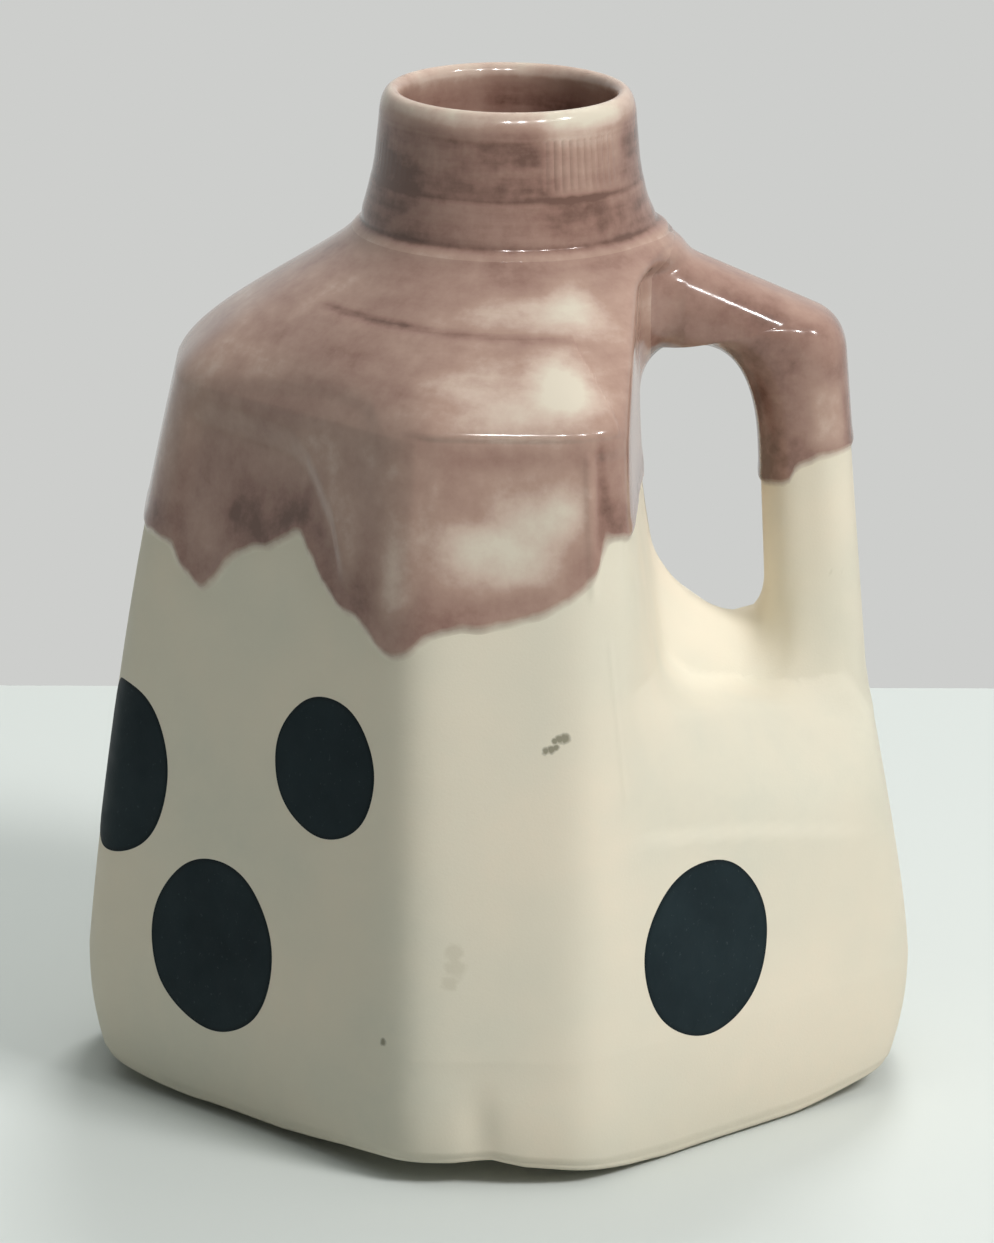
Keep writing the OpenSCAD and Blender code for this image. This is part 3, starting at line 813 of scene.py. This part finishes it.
GLAZE_STOPS = [
    (0.0, linear(216, 206, 188)), (0.28, linear(201, 178, 163)), (0.52, linear(175, 145, 130)),
    (0.74, linear(157, 125, 112)), (0.88, linear(139, 106, 94)), (1.0, linear(109, 80, 69)),
]


def glaze_material():
    n = new_material("glaze")
    # The depth attribute sets the glaze colour; on the neck, round the left panel and above the tier line
    # it also carries painted highlight and painted shade
    depth = n.math("ADD", n.attribute("depth"), n.swing(0.2, 85, 6, 0.65))
    depth = n.math("ADD", depth, n.swing(0.07, 330, 4, 0.6))
    streaks = n.math("MULTIPLY", n.attribute("streak"), n.swing(0.14, 48, 4, 0.55, (1, 1, 6)))
    colour = n.ramp(n.math("ADD", depth, streaks), GLAZE_STOPS)
    edge = n.math("ADD", n.attribute("edge"), n.swing(0.3, 300, 3))
    fade = n.spread(edge, 0.0, 1.5)
    return n.finish(
        Base_Color=n.mix(fade, clay_colour(n), colour), Roughness=n.spread(fade, 0.0, 1.0, 0.5, 0.13),
        Specular_IOR_Level=0.5, Normal=n.bump(n.noise(240, 2, 0.5), 0.1, 0.0004),
    )


def spot_material():
    n = new_material("spot")
    clouds = n.spread(n.noise(90, 4), 0.3, 0.7)
    colour = n.mix(clouds, linear(24, 35, 39), linear(32, 44, 48))
    specks = n.spread(n.noise(1500, 2), 0.66, 0.74)
    colour = n.mix(n.math("MULTIPLY", specks, 0.2), colour, linear(80, 90, 94))
    colour = n.mix(n.math("MULTIPLY", n.attribute("rim"), 0.6), colour, linear(13, 19, 22))
    return n.finish(
        Base_Color=colour, Roughness=n.spread(n.noise(300, 3), 0.3, 0.7, 0.5, 0.62),
        Specular_IOR_Level=0.08, Normal=n.bump(n.noise(1800, 3), 0.1, 0.0002),
    )


bisque = bisque_material()
glaze = glaze_material()
spot_paint = spot_material()


# Clay pieces


def stepped(levels, end):
    """Heights from level to level, each with its own step, up to an end."""
    tops = [z for z, _ in levels[1:]] + [end]
    rows = [
        np.linspace(low, high, max(1, round((high - low) / step)), endpoint=False)
        for (low, step), high in zip(levels, tops)
    ]
    return np.append(np.concatenate(rows), end)[:, None]


lip_z = LIP_Z - LIP_ROUND_OUT
wall_rows = stepped([(WIDEST_Z, 1.0), (SEAT_Z - 12, 0.45), (SEAT_Z + 16, 0.8), (HIP_Z - 8, 0.4)], HIP_Z)
shoulder_rows = stepped(
    [(HIP_Z, 0.35), (HIP_Z + 4, 0.7), (HIP_Z + 10, 0.35), (HIP_Z + 14, 0.6)], COLLAR_Z,
)
neck_rows = stepped(
    [(COLLAR_Z, 0.3), (COLLAR_Z + 4.5, 0.5), (COLLAR_Z + 7.5, 0.25), (COLLAR_Z + 9.5, 0.6)], lip_z,
)


def inside_of(points, thickness):
    """Points moved in towards the axis by a thickness, but not past the bore."""
    r = np.hypot(points[..., 0], points[..., 1])
    inside = points.copy()
    inside[..., :2] *= (np.maximum(BORE_R, r - thickness) / r)[..., None]
    return inside


def shell_piece(name, node, rows, first):
    """A tube of clay between two levels, outside and inside, from a row of the settled clay up."""
    part = slice(first, first + len(rows))
    inside = inside_of(plain_rows(np.append(rows[:-1:3], rows[-1:], 0)), WALL)[::-1]
    points = np.concatenate([clay_points[part], inside])
    normals = np.concatenate([clay_normals[part], grid_normals(inside)])
    piece = make_piece(name, points, normals, ring_faces(len(points), COLUMNS, True))
    finish_piece(piece, node, bisque)


def lift(t):
    """Lift of the foot at its corners, and along the front, where its edge has a small notch."""
    off = np.abs((t + 45) % 90 - 45) / LIFT_REACH
    corners = HEEL_LIFT * np.maximum(0, 1 - off ** 2) ** 2 * (1 - between(t, *FRONT, FRONT_FADE))
    return corners + read_off(FRONT_LIFT, t)


def foot_level(half, z, lifted):
    return polar(angles, octagon(angles, half, half), z + lifted * lift(angles))


def foot_outside():
    """Levels of the foot from its hollow out over the standing ring and up to its joint."""
    edge_half = float(corner_at(EDGE_Z))
    stand_out = BODY_HALF - FOOT_DRAW - STAND_INSET
    stand_in = stand_out - STAND_W
    hollow_half = stand_in - HOLLOW_SLOPE
    levels = [(hollow_half - 3, HOLLOW, 0)]
    levels += [(lerp(hollow_half, stand_in, f), HOLLOW * (1 - ease(f)), 0) for f in (0, 0.3, 0.6, 0.9, 1)]
    levels += [(lerp(stand_in, stand_out, f), 0, f) for f in (0.1, 0.4, 0.7, 1)]
    levels += [(lerp(stand_out, edge_half - EDGE_ROUND, f), EDGE_Z * f, 1) for f in (0.3, 0.7, 0.95)]
    for a in np.radians(np.linspace(0, 90, 8)):
        z = EDGE_Z + EDGE_ROUND * (1 - math.cos(a))
        levels.append((edge_half - EDGE_ROUND * (1 - math.sin(a)), z, 1 - z / LIFT_TOP))
    for z in np.linspace(EDGE_Z + EDGE_ROUND, WIDEST_Z, 26)[1:-1]:
        levels.append((float(corner_at(z)), z, max(0, 1 - z / LIFT_TOP)))
    rows = np.array([foot_level(*level) for level in levels])
    bumps = relief(angles, rows[..., 2]) * ease((rows[..., 2] - 1) / 3)
    bumps += TOE * bell(turn_from(angles, TOE_AT) / TOE_TURN) * ease((WIDEST_Z - rows[..., 2]) / WIDEST_Z)
    rows[..., :2] *= 1 + bumps[..., None] / np.linalg.norm(rows[..., :2], axis=-1, keepdims=True)
    return np.concatenate([rows, plain_rows(wall_rows[:1])])


def foot_piece(top_normals):
    outside = foot_outside()
    inside_half = BODY_HALF - WALL
    turns = np.radians(np.linspace(90, 0, 9))
    floor_half = inside_half - FLOOR_ROUND * (1 - np.sin(turns))
    floor_z = FLOOR_T + FLOOR_ROUND * (1 - np.cos(turns))
    floor = [foot_level(half, z, 0) for half, z in zip(floor_half, floor_z)]
    inside = np.concatenate([inside_of(plain_rows(wall_rows[:1]), WALL), np.array(floor)])
    normals = grid_normals(outside)
    normals[-1] = top_normals
    points = np.concatenate([outside, inside]).reshape(-1, 3)
    rows = len(outside) + len(inside)
    quads = ring_faces(rows, COLUMNS, False)
    points = np.concatenate([points, [[0, 0, HOLLOW], [0, 0, FLOOR_T]]])
    normals = np.concatenate([
        normals.reshape(-1, 3), grid_normals(inside).reshape(-1, 3), [[0, 0, -1], [0, 0, 1]],
    ])
    piece = make_piece("foot_clay", points, normals, quads, end_caps(rows, COLUMNS))
    finish_piece(piece, "foot", bisque)


# The outside of the clay is settled as one, so that no joint of it shows
outside_rows = np.concatenate([wall_rows, shoulder_rows[1:], neck_rows[1:]])
clay_points, clay_normals = clay_rows(outside_rows)
hip_row = len(wall_rows) - 1
collar_row = hip_row + len(shoulder_rows) - 1


def over_lip(points, normals):
    """Rows of the neck carried on over its lip and down its bore."""
    turns = np.linspace(0, 180, 30)[1:, None]
    half_r = np.where(turns < 90, LIP_R - LIP_CREST_R, LIP_CREST_R - BORE_R)
    half_z = np.where(turns < 90, LIP_ROUND_OUT, LIP_ROUND_IN)
    crest = LIP_Z - half_z * (1 - sind(turns))
    lip = polar(angles, LIP_CREST_R + half_r * cosd(turns) + 0 * angles, crest + 0 * angles)
    down = np.linspace(LIP_Z - LIP_ROUND_IN, COLLAR_Z, 24)[1:, None]
    bore = polar(angles, BORE_R + 0 * angles + 0 * down, down + 0 * angles)
    rest = np.concatenate([points[-1:], lip, bore])
    return np.concatenate([points, rest[1:]]), np.concatenate([normals[:-1], grid_normals(rest)])


neck_points, neck_normals = over_lip(clay_points[collar_row:], clay_normals[collar_row:])

foot_piece(clay_normals[0])
shell_piece("wall_clay", "body_wall", wall_rows, 0)
shell_piece("shoulder_clay", "shoulder", shoulder_rows, hip_row)
neck_quads = ring_faces(len(neck_points), COLUMNS, True)
neck_piece = make_piece("neck_clay", neck_points, neck_normals, neck_quads)
finish_piece(neck_piece, "neck_collar", bisque)


# Handle

handle_turns = np.arange(HANDLE_SIDES) * 360 / HANDLE_SIDES


def rounded(v):
    return np.sign(v) * np.abs(v) ** (2 / SECTION_POWER)


def plain_handle(u_rows):
    """Points of the handle at rows of stations, one for each side, before its fillets."""
    u = np.broadcast_to(np.asarray(u_rows, float), (len(u_rows), HANDLE_SIDES))
    out, inn, half_w = handle_sides(u)
    across = rounded(cosd(handle_turns))[..., None]
    xz = (out + inn) / 2 + (out - inn) / 2 * across
    y = -half_w * rounded(sind(handle_turns))
    return np.stack([xz[..., 0], y, xz[..., 1]], -1)


def handle_rows(u_rows):
    points = plain_handle(u_rows)
    return settle(points, grid_normals(points), True)


def handle_piece():
    parts = [
        np.linspace(HANDLE_ROOT_U, 1, 44), np.linspace(1, 2, 46)[1:],
        np.linspace(2, 3, 70)[1:], np.linspace(3, 3.95, 30)[1:],
    ]
    points, normals = handle_rows(np.concatenate(parts)[:, None])
    rows = len(points)
    ends = np.array([points[0].mean(0), points[-1].mean(0)])
    points = np.concatenate([points.reshape(-1, 3), ends])
    normals = np.concatenate([normals.reshape(-1, 3), [[-1, 0, 0], [0, 0, -1]]])
    quads = ring_faces(rows, HANDLE_SIDES, False)
    piece = make_piece("handle_clay", points, normals, quads, end_caps(rows, HANDLE_SIDES))
    finish_piece(piece, "handle", bisque)


handle_piece()


# Glaze: its lower edge, as angle and height, and how deep it lies

DRIP_EDGE = [
    (0, 95), (30, 94), (45, 88), (60, 92), (75, 86), (90, 82), (105, 88), (120, 91), (135, 83), (150, 89),
    (165, 82), (180, 87), (190, 86), (197, 86), (199, 85.8), (200.5, 84), (203, 82), (206, 80.6),
    (208.5, 80.2), (210.5, 81.4), (213.5, 85), (216, 87), (220, 88.4), (224, 89.2), (227, 90.8),
    (229.3, 92), (231, 91), (233, 89.2), (237, 85.8), (240, 83.6), (243, 82.7), (245, 82.5), (247, 81.2),
    (249.5, 78.8), (252, 77.8), (254, 77.8), (256, 79), (258.5, 81.2), (261, 82.4), (265, 82.8), (268, 83),
    (271, 83.7), (274, 84.2), (276.5, 85), (279, 86.2), (281.5, 87.8), (283.5, 89), (285.5, 90.6),
    (286.4, 93.5), (287.2, 95.4), (290, 95), (294, 94.5), (310, 95), (335, 94), (360, 95),
]
EDGE_STEP = 0.25
edge_t = np.arange(0, 360, EDGE_STEP)
edge_z = smoothed(read_off(DRIP_EDGE, edge_t), 3, True)
edge_z += 0.2 * np.sin(edge_t * 0.9) * np.sin(edge_t * 0.37 + 1)
edge_slope = np.gradient(edge_z) / (np.radians(EDGE_STEP) * body_radius(edge_t, edge_z))

# Places where the glaze lies deeper or thinner, with painted highlight and painted shade round the left
# panel: angle, height, reach round, reach up, amount
GLAZE_PATCHES = [
    (271, 95.5, 10, 5.5, -0.5), (277, 100, 5, 3, -0.25), (263, 94, 4, 4, -0.2), (281, 101, 3, 3, -0.2),
    (273, 91, 6, 2, -0.15), (257, 99, 2, 6, -0.1), (267, 100, 3, 2, 0.15),
    (270, 108, 16, 1.8, 0.2), (281, 117, 6, 3.5, -0.8), (270, 115, 8, 3.5, -0.3),
    (275, 124.5, 16, 1.6, -0.3), (290, 126, 8, 3, -0.4), (240, 117, 20, 4, 0.02),
    # 216 to 238 degrees: paler just above the left panel's edge and darker inside the sunk panel, partly
    #                     glaze tone and partly painted highlight and painted shade
    (225, 108, 18, 4, 0.05), (216, 97, 14, 6, 0.22), (232, 107, 5, 3, -0.15), (238, 100, 2.5, 5, -0.12),
    (248, 94, 2.5, 10, 0.12), (242, 92, 2.4, 6, -0.2), (252, 90, 2.5, 9, -0.3), (288, 98, 3, 10, 0.15),
    (225, 121, 25, 4, 0.15), (262, 117, 8, 3, -0.12), (248, 103, 5, 5, -0.1),
]
BASE_DEPTH = 0.58
POOL = 0.22
POOL_AT = 3
POOL_REACH = 4
# Darker glaze above the tier line: pooled glaze and painted shade in the crease
TIER_POOL_AND_SHADE = 0.3
COLLAR_POOL = 0.1

# Depth of the glaze up the neck: height above the shoulder, depth
NECK_DEPTH = [
    (0, 0.5), (0.5, 0.55), (1.0, 0.8), (1.6, 1.0), (2.4, 0.85), (5, 0.8), (7.8, 0.8), (8.5, 1.0),
    (9.3, 0.92), (14, 0.95), (17, 0.9),
]

# Depth over the lip and down the bore: distance below the top of the lip, depth
LIP_DEPTH = [(0, 0.2), (1, 0.28), (2, 0.5), (3, 0.8)]
BORE_DEPTH = [(0, 0.32), (1.2, 0.4), (3, 0.65), (5, 0.8), (12, 0.85)]
# Painted highlight: the glaze is made paler on the lit front-right of the neck, up to its top
NECK_PAINTED_HIGHLIGHT = -0.3
NECK_PAINTED_HIGHLIGHT_TURN = (288, 330)
NECK_PAINTED_HIGHLIGHT_Z = (140, 152)


def drip_at(t, values):
    return np.interp(t % 360, np.append(edge_t, 360), np.append(values, values[0]))


def glaze_depth(t, z, edge):
    depth = BASE_DEPTH + POOL * bell((edge - POOL_AT) / POOL_REACH)
    for at, height, around, up, amount in GLAZE_PATCHES:
        depth = depth + amount * bell(turn_from(t, at) / around) * bell((z - height) / up)
    # Darker just above the tier line: glaze pooled in the crease, with painted shade there
    over_line = z - read_off(TIER_LINE, t)
    line = TIER_POOL_AND_SHADE * bell((over_line - 0.4) / 0.5) * between(t, 215, 287, 12)
    return depth + line + COLLAR_POOL * between(z, COLLAR_Z - 4, COLLAR_Z, 2)


def grid_like(points, normals):
    """Normals of the coat: those of its own rows, unless it lies by a joint and follows the clay's."""
    own = grid_normals(points)
    ends = np.ones(len(points))
    ends[-1] = 0
    by_joint = near_joint(points.reshape(-1, 3)).reshape(points.shape[:-1])
    weight = (ends[:, None] * ~by_joint)[..., None]
    return unit(lerp(normals, own, weight))


def coat_piece(name, node, points, normals, edge, depth, streak):
    """A coat that lies on settled clay and runs out at its edge, closed below the clay."""
    thick = GLAZE_T * ease(edge / GLAZE_EDGE) + BEAD_T * bell(edge - BEAD_AT)
    top = points + normals * thick[..., None]
    under = (points - normals * BURIED)[::-1]
    whole = np.concatenate([top, under])
    whole_normals = np.concatenate([grid_like(top, normals), -normals[::-1]])
    values = {"edge": edge, "depth": depth, "streak": streak + 0 * edge}
    values = {key: np.concatenate([value, value[::-1]]) for key, value in values.items()}
    quads = ring_faces(2 * len(points), points.shape[1], True)
    finish_piece(make_piece(name, whole, whole_normals, quads, values=values), node, glaze)


def shoulder_glaze_piece():
    low = drip_at(angles, edge_z)
    v = np.concatenate([np.linspace(0, 0.12, 12), np.linspace(0.12, 1, 50)[1:]])[:, None]
    z_rows = np.concatenate([lerp(low, HIP_Z, v), shoulder_rows[1:] + 0 * angles])
    points, normals = clay_rows(z_rows)
    edge = (z_rows - low) / np.sqrt(1 + drip_at(angles, edge_slope) ** 2)
    streak = ease((z_rows - HIP_Z) / 6)
    depth = glaze_depth(angles, z_rows, edge)
    coat_piece("shoulder_glaze_coat", "shoulder_glaze", points, normals, edge, depth, streak)


def neck_glaze_piece():
    outside = len(neck_rows)
    depth = read_off(NECK_DEPTH, neck_points[..., 2] - COLLAR_Z)
    r = np.linalg.norm(neck_points[outside:, :, :2], axis=-1)
    z = neck_points[outside:, :, 2]
    inner, outer = read_off(BORE_DEPTH, LIP_Z - z), read_off(LIP_DEPTH, LIP_Z - z)
    depth[outside:] = np.where(r < LIP_CREST_R, inner, outer)
    # Painted highlight: paler glaze on the lit front-right of the upper neck
    pale = between(angles, *NECK_PAINTED_HIGHLIGHT_TURN, 12) * between(neck_points[..., 2], *NECK_PAINTED_HIGHLIGHT_Z, 2)
    depth += NECK_PAINTED_HIGHLIGHT * pale
    edge = np.full(depth.shape, 30.0)
    coat_piece("neck_glaze_coat", "neck_glaze", neck_points, neck_normals, edge, depth, 1.0)


HANDLE_EDGE = [
    (0, 98), (60, 97.8), (80, 97.4), (92, 96.4), (100, 95.4), (106, 93.6), (115, 93), (150, 92.6),
    (180, 92), (210, 92.6), (240, 94), (260, 96), (285, 96.4), (310, 97.4), (335, 97.8), (360, 98),
]
LEG_FROM_U = 1.6
HANDLE_DEPTH = 0.8
INNER_SIDE = 0.15
ELBOW_PALE = -0.35
ARM_TOP_PALE = -0.12
LEG_POOL = 0.1


def stations_at(height):
    """Station down the leg at which each side of the handle comes to its height."""
    u = np.linspace(LEG_FROM_U, 3, 141)
    z = plain_handle(u[:, None])[..., 2]
    return np.array([np.interp(-h, -z[:, side], u) for side, h in enumerate(height)])


def handle_glaze_piece():
    height = read_off(HANDLE_EDGE, handle_turns)
    v = np.concatenate([np.linspace(0, 0.92, 100), np.linspace(0.92, 1, 16)[1:]])[:, None]
    u_rows = lerp(HANDLE_ROOT_U, stations_at(height), v)
    points, normals = handle_rows(u_rows)
    z = plain_handle(u_rows)[..., 2]
    edge = np.where(u_rows < LEG_FROM_U, 20, z - height)
    inner = ease((np.abs(turn_from(handle_turns, 0)) - 100) / 50)
    pale = between(z, 99, 109, 5) * between(handle_turns, 40, 85, 20)
    top = ease((60 - np.abs(turn_from(handle_turns, 0))) / 30) * ease((1.3 - u_rows) / 0.3)
    depth = HANDLE_DEPTH + INNER_SIDE * inner + ELBOW_PALE * pale + ARM_TOP_PALE * top
    depth += LEG_POOL * bell(edge / POOL_REACH)
    coat_piece("handle_glaze_coat", "handle_glaze", points, normals, edge, depth, 0.0)


shoulder_glaze_piece()
neck_glaze_piece()
handle_glaze_piece()


# Painted spots: face angle, distance along it, height, diameter

LARGE_SPOT = 26.4
SMALL_SPOT = 21
SPOTS = {
    "spot_left_corner": (180, 14, 50, LARGE_SPOT),
    "spot_left_upper": (225, 14, 59.5, SMALL_SPOT),
    "spot_left_lower": (225, -7.5, 27.5, LARGE_SPOT),
    "spot_right": (315, -9.2, 31.8, LARGE_SPOT),
    "spot_back_left": (135, -6, 56, SMALL_SPOT),
    "spot_back_right": (45, 8, 30, LARGE_SPOT),
}
SPOT_RAYS = 120
SPOT_RIM = 0.5
SPOT_SHARES = np.concatenate([np.linspace(0.06, 0.9, 14), np.linspace(0.9, 1, 8)[1:]])[:, None]


def on_wall(t, z):
    return polar(t, body_radius(t, z), z)


def wall_normals(t, z):
    tiny = 0.05
    points = on_wall(t, z)
    return unit(np.cross(on_wall(t + tiny, z) - points, on_wall(t, z + tiny) - points))


def spot_rings(angle, along, height, diameter):
    """Angles and heights of rings of points on the wall, and how far each lies from the rim."""
    face = float(body_radius(angle, height))
    turns = np.arange(SPOT_RAYS) * 360 / SPOT_RAYS
    wobble = 1 + 0.006 * sind(3 * turns + angle) + 0.004 * sind(7 * turns + along)
    reach = diameter / 2 * SPOT_SHARES * wobble
    t = angle - np.degrees(np.arctan2(-along - reach * cosd(turns), face))
    z = height + reach * sind(turns)
    return t, z, (1 - SPOT_SHARES) * diameter / 2 + 0 * turns


def spot_faces(rings):
    """Faces of the top, the underside and the rim of a spot, and those round its two middle points."""
    first_top, first_under = (rings - 1) * SPOT_RAYS, rings * SPOT_RAYS
    last_under, middle = (2 * rings - 1) * SPOT_RAYS, 2 * rings * SPOT_RAYS
    sheet = ring_faces(rings, SPOT_RAYS, False)
    j = np.arange(SPOT_RAYS)
    k = (j + 1) % SPOT_RAYS
    band = np.stack([last_under + j, last_under + k, k, j], -1)
    caps = [fan(middle, first_top, SPOT_RAYS), fan(middle + 1, first_under, SPOT_RAYS)[:, ::-1]]
    return np.concatenate([sheet, sheet + first_under, band]), np.concatenate(caps)


def spot_piece(node, angle, along, height, diameter):
    """A thin round coat of paint that follows the wall, closed below the clay."""
    t, z, rim = spot_rings(angle, along, height, diameter)
    points, normals = on_wall(t, z), wall_normals(t, z)
    thick = SPOT_T * ease(rim / SPOT_RIM + 0.1)
    top = points + normals * thick[..., None]
    under = points - normals * BURIED
    middles = [top[0].mean(0), under[0].mean(0)]
    up = normals[0].mean(0)
    whole = np.concatenate([top[::-1].reshape(-1, 3), under.reshape(-1, 3), middles])
    whole_normals = np.concatenate([normals[::-1].reshape(-1, 3), -normals.reshape(-1, 3), [up, -up]])
    rim_value = bell(rim / SPOT_RIM)
    values = {"rim": np.concatenate([rim_value[::-1].ravel(), rim_value.ravel(), [0, 0]])}
    quads, caps = spot_faces(len(SPOT_SHARES))
    piece = make_piece(f"{node}_paint", whole, whole_normals, quads, caps, values)
    finish_piece(piece, node, spot_paint)


for spot_name, spot_place in SPOTS.items():
    spot_piece(spot_name, *spot_place)


# Stage, light and camera

PHOTO_W, PHOTO_H = 994, 1243
FLOOR_BACK = 0.2028
FLOOR_TILT = 0.03
FLOOR_COLOUR = linear(208, 213, 210)
FLOOR_BOUNCE = linear(196, 200, 197)
WALL_COLOUR = linear(205, 206, 204)
FILL_COLOUR = (0.96, 1.0, 0.97, 1)
KEY_COLOUR = (1.0, 0.97, 0.95)
SIDE_LIGHT = 0.08
TOP_LIGHT = 1.1

# Lamps: azimuth, elevation, distance, size, power
KEY_LAMP = (57, 39, 1.5, 0.45, 7.6)
BACK_LAMP = (170, 52, 1.5, 0.4, 9.5)
FRONT_LAMP = (50, 44, 1.2, 0.35, 5.6)
GLINT_AZIMUTHS = (0, 14, 34, 62)
GLINT_LAMP = (40, 1.2, 0.06, 3.2)


def floor_plane():
    half, front = 1.2, -2.0
    mesh = bpy.data.meshes.new("floor")
    tilt = FLOOR_TILT * half
    corners = [
        (-half, front, 0), (half, front, 0), (half, FLOOR_BACK + tilt, 0), (-half, FLOOR_BACK - tilt, 0),
    ]
    mesh.from_pydata(corners, [], [(0, 1, 2, 3)])
    floor = bpy.data.objects.new("floor", mesh)
    bpy.context.scene.collection.objects.link(floor)
    n = new_material("floor")
    colour = n.mix(n.seen(), FLOOR_BOUNCE, FLOOR_COLOUR)
    mesh.materials.append(n.finish(Base_Color=colour, Roughness=0.6, Specular_IOR_Level=0.2))


def world_light():
    """Soft light mostly from above, and a pale wall where the camera and reflections look."""
    world = bpy.data.worlds.new("studio")
    bpy.context.scene.world = world
    n = Nodes(world)
    n.tree.nodes.clear()
    way = n.add("ShaderNodeTexCoord").outputs["Generated"]
    height = n.add("ShaderNodeSeparateXYZ", {0: way}).outputs["Z"]
    upward = n.math("POWER", n.math("MAXIMUM", height), 4.0)
    strength = n.math("ADD", n.math("MULTIPLY", upward, TOP_LIGHT), SIDE_LIGHT)
    fill = n.add("ShaderNodeBackground", {"Color": FILL_COLOUR, "Strength": strength})
    wall = n.add("ShaderNodeBackground", {"Color": WALL_COLOUR})
    mix = n.add("ShaderNodeMixShader", {0: n.seen(), 1: fill.outputs[0], 2: wall.outputs[0]})
    n.add("ShaderNodeOutputWorld", {0: mix.outputs[0]})


def lamp(name, azimuth, elevation, distance, size, power, aim=(0, 0, 0.08)):
    """A soft round lamp, azimuth degrees to the right of the camera's side."""
    a, e = math.radians(azimuth), math.radians(elevation)
    way = Vector((math.sin(a) * math.cos(e), -math.cos(a) * math.cos(e), math.sin(e)))
    data = bpy.data.lights.new(name, "AREA")
    data.shape = "DISK"
    data.size = size
    data.energy = power
    light = bpy.data.objects.new(name, data)
    light.location = Vector(aim) + way * distance
    light.rotation_euler = way.to_track_quat("Z", "Y").to_euler()
    light.visible_camera = False
    bpy.context.scene.collection.objects.link(light)
    return light


def photo_camera():
    """The camera of the photograph: its height, distance, slight roll and off-centre framing."""
    target, distance = Vector((0, 0, 0.075)), 1.4
    elevation, roll = math.radians(15.6), math.radians(0.65)
    pixels_per_mm = 6.58
    centre_px, centre_py = 502.5, 586.0
    back = Vector((0, -math.cos(elevation), math.sin(elevation)))
    right = Vector((1, 0, 0))
    up = back.cross(right)
    tilted_right = right * math.cos(roll) + up * math.sin(roll)
    tilted_up = up * math.cos(roll) - right * math.sin(roll)
    data = bpy.data.cameras.new("camera")
    data.sensor_width = 36
    data.lens = pixels_per_mm * distance / MM / PHOTO_H * data.sensor_width
    data.shift_x = (PHOTO_W / 2 - centre_px) / PHOTO_H
    data.shift_y = (centre_py - PHOTO_H / 2) / PHOTO_H
    data.clip_end = 20
    camera = bpy.data.objects.new("camera", data)
    axes = Matrix((tilted_right, tilted_up, back)).transposed().to_4x4()
    camera.matrix_world = Matrix.Translation(target + back * distance) @ axes
    bpy.context.scene.collection.objects.link(camera)
    bpy.context.scene.camera = camera


floor_plane()
world_light()
key = lamp("key", *KEY_LAMP)
key.data.color = KEY_COLOUR
key.visible_glossy = False
lamp("back", *BACK_LAMP).visible_glossy = False
lamp("front", *FRONT_LAMP).visible_glossy = False
for number, azimuth in enumerate(GLINT_AZIMUTHS):
    lamp(f"glint_{number}", azimuth, *GLINT_LAMP).visible_diffuse = False
photo_camera()
bpy.context.scene.view_settings.view_transform = "Standard"
